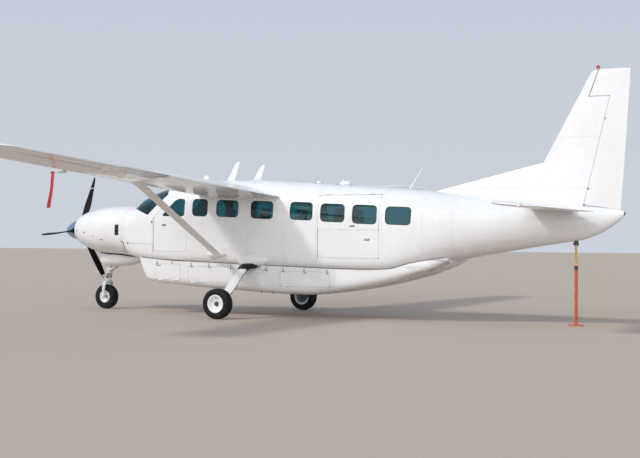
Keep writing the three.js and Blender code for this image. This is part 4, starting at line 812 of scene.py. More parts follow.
# Wing. Columns: y, leading edge x, trailing edge x, leading edge z, trailing edge z, thickness, camber
WING_ROWS = [
    (0.45, 4.000, 5.990, 2.560, 2.400, 0.17, 0.018),
    (0.85, 4.000, 5.980, 2.575, 2.420, 0.17, 0.018),
    (4.30, 4.185, 5.795, 2.755, 2.662, 0.15, 0.018),
    (7.66, 4.363, 5.612, 2.925, 2.897, 0.12, 0.018),
    (7.80, 4.395, 5.595, 2.950, 2.912, 0.09, 0.030),
    (7.93, 4.560, 5.540, 2.975, 2.935, 0.03, 0.045),
]
CHORD_STEPS = [(1 - math.cos(math.pi * k / 26)) / 2 for k in range(26, -1, -1)]
AFT = Vector((1, 0, 0))


def camber_line(s, camber):
    return camber * (1 - ((0.25 - s) / 0.25) ** 2 if s < 0.25 else 1 - ((s - 0.25) / 0.75) ** 2)


def half_thickness(s, thickness):
    return 5 * thickness * (0.2969 * math.sqrt(s) - 0.126 * s - 0.3516 * s * s + 0.2843 * s ** 3
                            - 0.1015 * s ** 4) + 0.0022 * s


def airfoil(thickness, camber):
    """Chord share and height from the trailing edge over the top to the nose and back below."""
    upper = [(s, camber_line(s, camber) + half_thickness(s, thickness)) for s in CHORD_STEPS]
    lower = [(s, camber_line(s, camber) - half_thickness(s, thickness)) for s in reversed(CHORD_STEPS[:-1])]
    return upper + lower


def wing_row(y):
    i = 0
    while i < len(WING_ROWS) - 2 and y > WING_ROWS[i + 1][0]:
        i += 1
    a, b = WING_ROWS[i], WING_ROWS[i + 1]
    t = (y - a[0]) / (b[0] - a[0])
    return [v + (w - v) * t for v, w in zip(a, b)]


def wing_ring(row):
    y, xl, xt, zl, zt, thickness, camber = row
    return [at(xl + (xt - xl) * s + (zl - zt) * h, -y, zl + (zt - zl) * s + h * (xt - xl))
            for s, h in airfoil(thickness, camber)]


def wing_point(y, s, side):
    _, xl, xt, zl, zt, thickness, camber = wing_row(y)
    chord = xt - xl
    half = half_thickness(s, thickness)
    height = camber_line(s, camber) + side * half
    return at(xl + chord * s, -y, zl + (zt - zl) * s + height * chord), half * chord


def wing_body():
    rings = [wing_ring(row) for row in WING_ROWS[:4]]
    tip = WING_ROWS[3:]
    for share in (0.15, 0.3, 0.45, 0.6, 0.72, 0.83, 0.92, 0.975, 1.0):
        rings.append(wing_ring(table_at(tip, 7.66 + 0.27 * math.sin(share * math.pi / 2))))
    return cut(loft(rings), body_part(3.6, 6.4, -SEAM, 0.2, 64))


def hinge_frame(start, end, aft):
    along = (end - start).normalized()
    across = along.cross(aft).normalized()
    return along, across.cross(along), across


def hinge_block(start, end, aft, along, away, across):
    """A block in the frame of a hinge line: along it, away from it and across it."""
    e1, e2, e3 = hinge_frame(start, end, aft)
    bm = bmesh.new()
    for vert in bmesh.ops.create_cube(bm, size=2.0)["verts"]:
        a, b, c = (pair[0] if value < 0 else pair[1] for pair, value in zip((along, away, across), vert.co))
        vert.co = start + e1 * a + e2 * b + e3 * c
    return bm


def bracket_arms(start, end, aft, places, pin, reach):
    e1 = (end - start).normalized()
    arms = []
    for d in places:
        arms.append(rod(start + e1 * (d - 0.0175), start + e1 * (d + 0.0175), pin, sides=20))
        arms.append(hinge_block(start, end, aft, (d - 0.0175, d + 0.0175), (-reach, 0), (-0.7 * pin, 0.7 * pin)))
    return arms


def bracket_slots(start, end, aft, places, pin, half_slot):
    return [hinge_block(start, end, aft, (d - 0.018, d + 0.018), (-0.3, pin + 0.006), (-half_slot, half_slot))
            for d in places]


def hinged_surface(whole, start, end, r0, r1, aft, end_gap, places):
    """A control surface with a rounded nose, the opening that it turns in, and the arms that carry it."""
    length = (end - start).length
    e1 = (end - start).normalized()
    first, last = start + e1 * end_gap, start + e1 * (length - end_gap)
    region = hinge_block(start, end, aft, (0, length), (-0.5 * min(r0, r1), 2), (-0.6, 0.6))
    cove = rod(start, end, r0 + 0.006, r1 + 0.006, 40)
    surface = combined(whole.copy(), ("INTERSECT", hinge_block(start, end, aft, (end_gap, length - end_gap),
                                                               (0, 2), (-0.6, 0.6))),
                       ("UNION", rod(first, last, r0 * 0.95, r1 * 0.95, 40)),
                       *[("DIFFERENCE", slot) for slot in bracket_slots(start, end, aft, places, 0.012, 0.09)])
    return {"surface": surface, "opening": [("DIFFERENCE", region), ("DIFFERENCE", cove)],
            "arms": [("UNION", arm) for arm in bracket_arms(start, end, aft, places, 0.012, max(r0, r1) + 0.03)]}


def make_wings():
    whole = wing_body()
    flap_from, flap_to = wing_point(0.98, 0.72, -1)[0], wing_point(5.55, 0.72, -1)[0]
    flap_length = (flap_to - flap_from).length
    flap_places = [0.6, 4.0]
    flap = combined(whole.copy(), ("INTERSECT", hinge_block(flap_from, flap_to, AFT, (0.010, flap_length - 0.010),
                                                            (0.0, 1.2), (-0.5, 0.5))),
                    *[("DIFFERENCE", s) for s in bracket_slots(flap_from, flap_to, AFT, flap_places, 0.012, 0.024)])
    inner, inner_half = wing_point(5.62, 0.74, 0)
    outer, outer_half = wing_point(7.60, 0.74, 0)
    aileron = hinged_surface(whole, inner, outer, inner_half, outer_half, AFT, 0.010, [0.3, 1.65])
    wing = combined(whole, ("DIFFERENCE", hinge_block(flap_from, flap_to, AFT, (0, flap_length), (-0.006, 1.2),
                                                      (-0.5, 0.5))), *aileron["opening"], *aileron["arms"],
                    *[("UNION", arm) for arm in bracket_arms(flap_from, flap_to, AFT, flap_places, 0.012, 0.03)])
    add_pair("wing_skin_left", wing, "wing", "wing_left")
    add_pair("flap_skin_left", flap, "wing", "flap_left", body="flap_left")
    add_pair("aileron_skin_left", aileron["surface"], "wing", "aileron_left", body="aileron_left")


# Wing strut. Columns: x, y, z, chord, thickness
STRUT_ROWS = [(4.60, -0.78, 1.20, 0.20, 0.060), (4.605, -1.05, 1.33, 0.20, 0.060),
              (4.65, -3.55, 2.531, 0.22, 0.062), (4.66, -3.86, 2.68, 0.34, 0.075)]
# Teardrop foot of the strut. Columns: x, reach, rise
FOOT_ROWS = [(4.30, 0.02, 0.02), (4.38, 0.09, 0.055), (4.50, 0.15, 0.080), (4.66, 0.13, 0.060), (4.80, 0.03, 0.02)]


def full_circle(count):
    return [2 * math.pi * (k + 0.5) / count for k in range(count)]


def teardrop(rows, z, first, last, pitch, count=36):
    """A swelling on the port side, from a table of station, reach and rise."""
    return loft([[at(x, -0.80 + reach * math.cos(a), z + rise * math.sin(a)) for a in full_circle(count)]
                 for x, reach, rise in (table_at(rows, s) for s in stations(first, last, pitch))])


def make_struts():
    bar_rings = [[at(x + chord / 2 * math.cos(a), y + thickness / 2 * math.sin(a) * 0.43,
                     z + thickness / 2 * math.sin(a) * 0.90) for a in full_circle(36)]
                 for x, y, z, chord, thickness in STRUT_ROWS]
    strut = combined(loft(bar_rings), ("UNION", teardrop(FOOT_ROWS, 1.245, 4.30, 4.80, 0.04)),
                     ("DIFFERENCE", body_part(4.0, 5.2, -SEAM, 0.2, 64)),
                     ("DIFFERENCE", loft([wing_ring(row) for row in WING_ROWS[:4]])))
    add_pair("strut_skin_left", strut, "plain", "strut_left")
    # A thin black strip along the bar's lower edge near its foot: painted shadow of the gap under the strut's fairing
    shadow_strip_rings = []
    for t in stations(0.02, 0.20, 0.02):
        x, y, z = (p + (q - p) * t for p, q in zip(STRUT_ROWS[1][:3], STRUT_ROWS[2][:3]))
        edge = []
        for a, out in ((1.03, 1.0), (1.16, 1.0), (1.16, 0.9), (1.03, 0.9)):
            c, h = math.cos(math.pi * a), math.sin(math.pi * a)
            edge.append(at(x + 0.1008 * out * c, y + 0.0302 * out * h * 0.43, z + 0.0302 * out * h * 0.90))
        shadow_strip_rings.append(edge)
    add_pair("strut_slot_left", loft(shadow_strip_rings), "black")


# Cargo pod. Columns: x, half width, bottom z, top z, squareness
POD_ROWS = [
    (2.53, 0.690, 1.120, 1.30, 5.0),
    (2.59, 0.708, 0.960, 1.30, 6.0),
    (2.66, 0.720, 0.805, 1.30, 7.0),
    (2.73, 0.728, 0.708, 1.30, 8.0),
    (2.81, 0.735, 0.660, 1.30, 9.0),
    (3.00, 0.740, 0.638, 1.30, 9.0),
    (3.80, 0.745, 0.565, 1.30, 6.0),
    (4.85, 0.750, 0.510, 1.28, 6.0),
    (5.90, 0.750, 0.460, 1.26, 6.0),
    (6.55, 0.750, 0.450, 1.24, 6.0),
    (6.90, 0.745, 0.480, 1.24, 6.0),
    (7.76, 0.730, 0.605, 1.22, 5.0),
    (8.66, 0.690, 0.810, 1.22, 4.2),
    (9.19, 0.620, 0.980, 1.24, 3.6),
    (9.50, 0.540, 1.120, 1.26, 3.2),
]
POD_DOORS = [
    # name, first x, last x, low z, high z
    ("pod_door_front", 2.98, 3.62, 0.70, 1.04),
    ("pod_door_middle", 3.80, 4.92, 0.66, 1.00),
    ("pod_door_rear", 6.00, 7.12, 0.62, 0.93),
]


def pod_ring(x, inset=0.0):
    _, half, bottom, top, square = table_at(POD_ROWS, x)
    rise, power = (top - bottom) / 2 - inset, 2 / square
    dense = []
    for k in range(200):
        angle = -math.pi / 2 + 2 * math.pi * k / 200
        c, s = math.cos(angle), math.sin(angle)
        dense.append(at(x, (half - inset) * squared(c, power), (bottom + top) / 2 + rise * squared(s, power)))
    return evenly(dense, 80)


def pod_body(inset=0.0, x0=2.53, x1=9.50):
    return loft([pod_ring(x, inset) for x in [x0] + stations(x0 + 0.04, x1, 0.10)])


def make_pod():
    rings = [pod_ring(2.530, 0.012), pod_ring(2.535, 0.004)]
    rings += [pod_ring(x) for x in stations(2.55, 3.00, 0.02)] + [pod_ring(x) for x in stations(3.08, 9.50, 0.10)]
    shell = cut(loft(rings), body_part(2.2, 11.0, -SEAM, 0.2, 80),
                cut(pod_body(0.03, 2.80, 9.10), body_part(2.2, 11.0, -0.030, 0.2, 64)))
    lip_layer = cut(pod_body(0.016, 2.80, 7.40), pod_body(0.019, 2.70, 7.50))
    body = shell.copy()
    tools = [("DIFFERENCE", block(x0, x1, -1.0, -0.60, z0, z1)) for _, x0, x1, z0, z1 in POD_DOORS]
    add("cargo_pod_skin", combined(body, *tools), "pod", "cargo_pod")
    for name, x0, x1, z0, z1 in POD_DOORS:
        outline = rounded([(x0 + 0.006, z0 + 0.006), (x1 - 0.006, z0 + 0.006), (x1 - 0.006, z1 - 0.006),
                           (x0 + 0.006, z1 - 0.006)], 0.03, 4)
        leaf = common(shell.copy(), prism(outline, -1.0, -0.60))
        add(name + "_leaf", leaf, "pod", name, body=name)
        lip = combined(lip_layer.copy(), ("INTERSECT", prism(drawn_in(outline, -0.0048), -1.0, -0.60)),
                       ("DIFFERENCE", prism(drawn_in(outline, 0.0002), -1.1, -0.50)))
        add(name + "_edge_seal", lip, "plain", body=name)
    seal = combined(pod_body(-0.003, 2.58, 9.40), ("DIFFERENCE", pod_body(0.002, 2.50, 9.45)),
                    ("INTERSECT", body_part(2.4, 9.6, -0.011, 0.1, 80)),
                    ("DIFFERENCE", body_part(2.3, 9.7, -0.0006, 0.1, 80)))
    add("pod_seam_seal", seal, "seam")


# Fin and rudder. Columns: z, leading edge x, trailing edge x, half thickness
FIN_ROWS = [(1.95, 10.600, 12.600, 0.098), (3.00, 11.180, 12.680, 0.076), (4.55, 12.034, 12.783, 0.036),
            (4.63, 12.085, 12.788, 0.028), (4.67, 12.150, 12.770, 0.010)]
# Dorsal run. Columns: x, top z, half thickness at the foot
DORSAL_ROWS = [(9.02, 2.50, 0.030), (9.60, 2.635, 0.036), (10.40, 2.82, 0.044), (11.18, 3.00, 0.052),
               (11.45, 3.05, 0.052)]
RUDDER_LOW, RUDDER_HIGH = at(11.97, 0, 2.21), at(12.442, 0, 4.19)


def fin_ring(row):
    z, xl, xt, half = row

    def share(s):
        return max(0.045, min(1.0, 2.418 * math.sqrt(s) * (1 - s) ** 0.9))
    side = [(xl + (xt - xl) * s, half * share(s)) for s in CHORD_STEPS[:-1]]
    front = [at(xl, half * 0.02, z), at(xl, -half * 0.02, z)]
    return [at(x, y, z) for x, y in side] + front + [at(x, -y, z) for x, y in reversed(side)]


def make_fin():
    rings = [fin_ring(row) for row in FIN_ROWS[:3]]
    rings += [fin_ring(table_at(FIN_ROWS[2:], z)) for z in (4.575, 4.60, 4.625, 4.645, 4.66, 4.67)]
    spine = []
    for x in stations(9.02, 11.45, 0.16):
        _, top, half = table_at(DORSAL_ROWS, x)
        arc = [(half * 0.7 * math.cos(a), top - 0.03 + 0.03 * math.sin(a))
               for a in (math.pi * k / 12 for k in range(13))]
        spine.append([at(x, half, 2.20)] + [at(x, y, z) for y, z in arc] + [at(x, -half, 2.20)])
    whole = combined(loft(rings), ("UNION", loft(spine)), ("DIFFERENCE", body_part(8.8, TAIL_END, -SEAM, 0.12, 64)))
    e1 = (RUDDER_HIGH - RUDDER_LOW).normalized()
    rudder = hinged_surface(whole, RUDDER_LOW - e1 * 0.30, RUDDER_HIGH + e1 * 0.25, 0.073, 0.030, AFT, 0.0,
                            [0.6, 1.9])
    horn = common(whole.copy(), prism([(12.052, 4.190), (12.90, 4.190), (12.90, 4.9), (12.322, 4.9)], -0.5, 0.5))
    floor = prism([(11.0, 1.9), (11.0, 2.2975), (11.87, 2.2325), (12.90, 2.0738), (12.90, 1.9)], -0.5, 0.5)
    surface = combined(rudder["surface"], ("UNION", horn), ("DIFFERENCE", floor))
    add("rudder_skin", surface, "rudder", "rudder", body="rudder")
    horn_cut = prism([(12.030, 4.176), (12.90, 4.176), (12.90, 4.9), (12.285, 4.9)], -0.5, 0.5)
    fin = combined(whole, *rudder["opening"], ("DIFFERENCE", horn_cut), *rudder["arms"])
    add("fin_skin", fin, "fin", "fin")


# Tailplane. Columns: y, leading edge x, trailing edge x, leading edge z, trailing edge z, thickness
TAIL_ROWS = [(0.03, 10.970, 12.280, 2.208, 2.070, 0.10), (3.02, 11.215, 12.025, 2.179, 2.107, 0.09),
             (3.12, 11.280, 11.990, 2.176, 2.110, 0.05)]
ELEVATOR_X = 11.74


def tail_ring(row):
    y, xl, xt, zl, zt, thickness = row
    return [at(xl + (xt - xl) * s, -y, zl + (zt - zl) * s + h * (xt - xl)) for s, h in airfoil(thickness, 0.0)]


def elevator_line_z(y):
    _, xl, xt, zl, zt, _ = [a + (b - a) * (y - 0.03) / 2.99 for a, b in zip(TAIL_ROWS[0], TAIL_ROWS[1])]
    return zl + (zt - zl) * (ELEVATOR_X - xl) / (xt - xl)


def plan_prism(rows):
    return loft([[at(x, y, z) for x, y in rows] for z in (1.5, 2.7)])


def make_tailplane():
    tip = [table_at(TAIL_ROWS, 3.02 + 0.10 * math.sin(k * math.pi / 12)) for k in range(1, 7)]
    whole = cut(loft([tail_ring(row) for row in TAIL_ROWS[:2] + tip]), body_part(10.6, TAIL_END, -SEAM, 0.12, 64))
    level = (elevator_line_z(0.3) + elevator_line_z(3.0)) / 2
    parts = hinged_surface(whole, at(ELEVATOR_X, -0.30, level), at(ELEVATOR_X, -3.20, level), 0.055, 0.0265, AFT,
                           0.0, [0.5, 2.2])
    slant = plan_prism([(11.5, 0.2), (12.6, 0.2), (12.6, -0.58), (11.84, -0.335), (11.5, -0.335)])
    elevator = cut(parts["surface"], slant)
    behind = plan_prism([(11.80, 0.2), (12.6, 0.2), (12.6, -0.60), (11.80, -0.60)])
    stabilizer = combined(whole, *parts["opening"], ("DIFFERENCE", behind), *parts["arms"])
    add_pair("stabilizer_skin_left", stabilizer, "plain", "stabilizer_left")
    skin = piece("elevator_skin_left", elevator, "wing")
    twin = mirrored(skin, "elevator_skin_right")
    stands_for(skin, "elevator", "white_paint", "elevator_left")
    stands_for(twin, "elevator", "white_paint", "elevator_right")


# Aerials on the roof. Columns: name, foot x, foot z, top x, top z, foot chord, top chord, half thickness
AERIALS = [
    ("aerial_front", 4.26, 2.75, 4.52, 3.19, 0.20, 0.09, 0.014),
    ("aerial_rear", 4.90, 2.75, 5.13, 3.11, 0.20, 0.09, 0.014),
    ("roof_air_scoop", 3.60, 2.68, 3.72, 2.92, 0.26, 0.10, 0.030),
    ("roof_puck", 6.40, 2.68, 6.45, 2.745, 0.16, 0.10, 0.060),
    ("roof_fairing", 6.90, 2.64, 7.00, 2.735, 0.32, 0.20, 0.090),
    ("whip_aerial", 8.45, 2.53, 8.77, 2.98, 0.035, 0.016, 0.008),
]


def make_aerials():
    inner = body_part(3.0, 9.0, 0.004, 0.2, 64)
    for name, x0, z0, x1, z1, chord0, chord1, half in AERIALS:
        rings = []
        for t in (0.0, 0.25, 0.5, 0.75, 0.93, 0.98, 1.0):
            x, z = x0 + (x1 - x0) * t, z0 + (z1 - z0) * t
            chord, thick = chord0 + (chord1 - chord0) * t, half * (1 - 0.4 * t)
            lip = 1.0 if t < 0.93 else math.sqrt(max(0.02, 1 - ((t - 0.93) / 0.072) ** 2))
            rings.append([at(x + chord / 2 * (1 + lip * math.cos(a)), thick * lip * math.sin(a), z)
                          for a in full_circle(28)])
        aerial = cut(loft(rings), inner.copy())
        add(name, aerial, "plain")
        foot = common(loft([[at(x0 + chord0 / 2 + chord0 * grow * math.cos(a), (half + 0.02) * math.sin(a), z)
                             for a in full_circle(28)] for grow, z in ((0.62, z0 - 0.2), (0.62, z0 + 0.3))]),
                      layer(x0 - 0.3, x0 + 0.6, -0.005, 0.006))
        add(name + "_foot", foot, "seal")


make_wings()
make_struts()
make_pod()
make_fin()
make_tailplane()
make_aerials()


# Wheels


def far_side(profile):
    return [(r, -d) for r, d in reversed(profile)]


def tyre_profile(radius, half, rim, grooves):
    """Half-section points (radius, distance) of a tyre, from one bead over the tread to the other."""
    side = [(rim - 0.006, 0.70 * half), (rim + 0.004, 0.80 * half), (rim + 0.2 * (radius - rim), 0.93 * half),
            (rim + 0.45 * (radius - rim), half), (rim + 0.68 * (radius - rim), 0.965 * half),
            (rim + 0.84 * (radius - rim), 0.87 * half), (rim + 0.93 * (radius - rim), 0.76 * half)]
    tread = []
    edge = 0.62 * half
    for place in sorted([edge, -edge] + [g + s for g in grooves for s in (-0.0045, -0.003, 0.003, 0.0045)],
                        reverse=True):
        in_groove = any(abs(place - g) < 0.004 for g in grooves)
        tread.append((radius - 0.028 * (place / half) ** 2 - (0.007 if in_groove else 0), place))
    return side + tread + far_side(side)


def ring_of_rods(centre, along, circle, radius, d0, d1, count, sides=8, bm=None):
    bm = bm or bmesh.new()
    axis = Vector(along).normalized()
    turn = axis.to_track_quat("Z", "Y")
    for k in range(count):
        a = 2 * math.pi * (k + 0.5) / count
        foot = centre + turn @ Vector((circle * math.cos(a), circle * math.sin(a), 0))
        rod(foot + axis * d0, foot + axis * d1, radius, sides=sides, bm=bm)
    return bm


def make_wheel(name, body, node_name, centre, radius, width, rim):
    half = width / 2
    tyre = turned_body(tyre_profile(radius, half, rim, (-0.036, -0.012, 0.012, 0.036)), centre, (0, 1, 0), 96,
                       ring=True)
    add(name + "_tyre", tyre, "rubber", node_name, body=body, slot="tyre_black", sharp_deg=40)
    dish = [(0.0, 0.30 * half), (0.26 * rim, 0.30 * half), (0.40 * rim, 0.34 * half), (0.62 * rim, 0.42 * half),
            (0.78 * rim, 0.56 * half), (0.86 * rim, 0.72 * half), (0.90 * rim, 0.84 * half),
            (1.00 * rim, 0.86 * half), (1.045 * rim, 0.80 * half), (1.03 * rim, 0.66 * half),
            (0.94 * rim, 0.50 * half)]
    rim_body = turned_body(dish + far_side(dish), centre, (0, 1, 0), 72)
    add(name + "_rim", rim_body, "rim", body=body, slot="tyre_black", sharp_deg=40)
    boss = [(0, 0.74 * half), (0.16 * rim, 0.74 * half), (0.20 * rim, 0.68 * half), (0.24 * rim, 0.34 * half),
            (0.30 * rim, 0.29 * half)]
    hub = turned_body(boss + far_side(boss), centre, (0, 1, 0), 40)
    add(name + "_hub", hub, "dark_steel", body=body, slot="tyre_black")
    bolts = bmesh.new()
    for end in (-1, 1):
        ring_of_rods(centre, (0, end, 0), 0.66 * rim, 0.0085, 0.36 * half, 0.53 * half, 10, 6, bolts)
        ring_of_rods(centre, (0, end, 0), 0.36 * rim, 0.006, 0.30 * half, 0.42 * half, 6, 6, bolts)
    add(name + "_bolts", bolts, "steel", body=body, slot="tyre_black")
    if name != "nose_wheel":
        inward = Vector((0, 1 if centre.y < 0 else -1, 0))
        disc = turned_body([(0.050, 0.60 * half), (0.128, 0.60 * half), (0.128, 0.70 * half),
                            (0.050, 0.70 * half)], centre, inward, 64, ring=True)
        add(name + "_brake_disc", disc, "dark_steel", body=body, slot="tyre_black")
    valve = rod(centre + Vector((0.80 * rim, -0.55 * half, 0)), centre + Vector((0.84 * rim, -0.88 * half, 0)), 0.005)
    add(name + "_valve", valve, "black", body=body, slot="tyre_black")


MAIN_AXLE, NOSE_AXLE = (5.184, 1.775, 0.300), (1.139, 0.0, 0.272)


def make_wheels():
    for side in (PORT, STARBOARD):
        name = "main_wheel_" + SIDE_WORD[side]
        make_wheel(name, name, name, at(MAIN_AXLE[0], side * MAIN_AXLE[1], MAIN_AXLE[2]), 0.300, 0.22, 0.172)
    make_wheel("nose_wheel", "nose_wheel", "nose_wheel", at(*NOSE_AXLE), 0.272, 0.20, 0.130)


# Main gear leg. Columns: x, y, z, chord, thickness, lean across, lean up
LEG_ROWS = [(5.225, -0.70, 1.060, 0.250, 0.080, 0.55, 0.84), (5.230, -0.82, 1.003, 0.240, 0.074, 0.55, 0.84),
            (5.235, -0.93, 0.945, 0.232, 0.070, 0.55, 0.84), (5.250, -1.22, 0.750, 0.226, 0.064, 0.58, 0.82),
            (5.270, -1.50, 0.560, 0.214, 0.060, 0.60, 0.80), (5.265, -1.61, 0.480, 0.170, 0.070, 0.60, 0.80)]
BLISTER_ROWS = [(5.03, 0.02, 0.03), (5.13, 0.10, 0.12), (5.30, 0.14, 0.155), (5.56, 0.10, 0.12), (5.82, 0.01, 0.02)]


def slab_ring(x, y, z, chord, thickness, lean_y, lean_z, count=40):
    ring = []
    for a in full_circle(count):
        reach = chord / 2 * squared(math.cos(a), 0.8)
        through = thickness / 2 * math.sin(a)
        ring.append(at(x + reach, y + through * lean_y, z + through * lean_z))
    return ring


def hose(points, radius, bm=None):
    """A round line bent through the points."""
    rings = []
    for i, point in enumerate(points):
        before, after = points[max(0, i - 1)], points[min(len(points) - 1, i + 1)]
        turn = (after - before).to_track_quat("Z", "Y")
        rings.append([point + turn @ Vector((radius * math.cos(a), radius * math.sin(a), 0))
                      for a in full_circle(10)])
    return loft(rings, bm)


def curve_through(corners, count=20):
    """Points of a smooth curve through the corners."""
    out = []
    for i in range(len(corners) - 1):
        p0, p1 = corners[max(0, i - 1)], corners[i]
        p2, p3 = corners[i + 1], corners[min(len(corners) - 1, i + 2)]
        for k in range(count):
            t = k / count
            out.append(0.5 * ((2 * p1) + (p2 - p0) * t + (2 * p0 - 5 * p1 + 4 * p2 - p3) * t * t
                              + (3 * p1 - p0 - 3 * p2 + p3) * t ** 3))
    return out + [corners[-1]]


def make_main_gear():
    def outside():
        return [("DIFFERENCE", body_part(4.4, 6.3, -SEAM, 0.15, 64)), ("DIFFERENCE", pod_body(-SEAM, 4.4, 6.6))]

    leg = combined(loft([slab_ring(*row) for row in LEG_ROWS]), *outside())
    add_pair("main_leg_skin_left", leg, "plain", "main_leg_left")
    axle = loft([slab_ring(5.255, -1.615, 0.53, 0.10, 0.060, 1, 0), slab_ring(5.23, -1.62, 0.44, 0.11, 0.058, 1, 0),
                 slab_ring(5.19, -1.628, 0.30, 0.115, 0.052, 1, 0),
                 slab_ring(5.184, -1.630, 0.25, 0.11, 0.050, 1, 0)])
    rod(at(5.184, -1.60, 0.300), at(5.184, -1.708, 0.300), 0.045, sides=32, bm=axle)
    for dx, dz in ((-0.035, 0.05), (0.035, 0.05), (-0.035, -0.03), (0.035, -0.03)):
        rod(at(5.19 + dx, -1.590, 0.30 + dz), at(5.19 + dx, -1.665, 0.30 + dz), 0.010, sides=6, bm=axle)
    add_pair("main_axle_left", axle, "dark_steel")
    blister = cut(teardrop(BLISTER_ROWS, 1.145, 5.03, 5.82, 0.04), body_part(4.4, 6.3, -SEAM, 0.15, 64),
                  block(5.19, 5.53, -1.2, -0.70, 0.90, 1.052))
    # A black patch round the leg where it enters the blister: painted shade standing in for a dark opening
    well_rows = [(5.16, 0.02, 0.02), (5.20, 0.10, 0.070), (5.32, 0.125, 0.100), (5.46, 0.105, 0.085),
                 (5.55, 0.02, 0.02)]
    well = combined(teardrop(well_rows, 1.062, 5.16, 5.55, 0.03, 32),
                    ("DIFFERENCE", loft([slab_ring(x, y, z, chord + 0.004, thick + 0.004, ly, lz)
                                         for x, y, z, chord, thick, ly, lz in LEG_ROWS])), *outside())
    add_pair("leg_well_left", well, "black")
    cap = turned_body([(0, -0.01), (0.050, -0.01), (0.050, 0.080), (0.046, 0.092), (0.034, 0.098), (0.030, 0.094),
                       (0.028, 0.070), (0, 0.068)], at(5.655, -0.765, 0.995), (0, -1, 0), 40)
    add_pair("step_cap_left", combined(cap, *outside()), "plain")
    add_pair("leg_blister_left", blister, "plain")
    boot = combined(loft([slab_ring(5.236, -0.80, 1.012, 0.300, 0.150, 0.55, 0.84),
                          slab_ring(5.240, -0.90, 0.962, 0.270, 0.118, 0.55, 0.84),
                          slab_ring(5.242, -0.945, 0.937, 0.236, 0.086, 0.55, 0.84)]), *outside())
    add_pair("leg_boot_left", boot, "black")
    caliper = block(5.235, 5.345, -1.700, -1.628, 0.275, 0.385)
    block(5.30, 5.36, -1.690, -1.640, 0.300, 0.360, caliper)
    rod(at(5.29, -1.705, 0.350), at(5.29, -1.60, 0.350), 0.020, sides=20, bm=caliper)
    rod(at(5.29, -1.705, 0.305), at(5.29, -1.60, 0.305), 0.020, sides=20, bm=caliper)
    add_pair("brake_caliper_left", caliper, "dark_steel")
    line = hose(curve_through([at(5.345, -0.90, 0.985), at(5.352, -0.95, 0.945), at(5.372, -1.25, 0.742),
                               at(5.388, -1.50, 0.566), at(5.375, -1.60, 0.480), at(5.33, -1.60, 0.40),
                               at(5.30, -1.60, 0.355)]), 0.006)
    add_pair("brake_line_left", line, "black")


# Nose gear
RAKE = 0.118
FAIRING_ROWS = [(0.98, 0.050, 1.060, 1.30), (1.05, 0.120, 0.985, 1.30), (1.20, 0.185, 0.962, 1.28),
                (1.50, 0.220, 0.955, 1.26), (1.85, 0.215, 0.990, 1.22), (2.20, 0.170, 1.060, 1.20),
                (2.50, 0.080, 1.105, 1.16)]
FORK_HALF = 0.137


def strut_x(z):
    return NOSE_AXLE[0] + (z - NOSE_AXLE[2]) * RAKE


def on_strut(z, y=0.0, ahead=0.0):
    return at(strut_x(z) - ahead, y, z)


def flat_link(start, end, width, thick, bm=None):
    """A flat bar across the aircraft's width between two points."""
    along = (end - start).normalized()
    up = along.cross(Vector((0, 1, 0))).normalized() * (thick / 2)
    side = Vector((0, width / 2, 0))
    return loft([[p + side + up, p - side + up, p - side - up, p + side - up] for p in (start, end)], bm)


def fairing_body(first, grow=0.0):
    """The fairing over the nose strut's top from a station on, swollen by a little."""
    rings = []
    for x in stations(first, 2.50, 0.06):
        _, half, low, high = table_at(FAIRING_ROWS, x)
        rings.append([at(x, (half + grow) * squared(math.cos(a), 0.8),
                         (low + high) / 2 + ((high - low) / 2 + grow) * math.sin(a)) for a in full_circle(48)])
    return loft(rings)


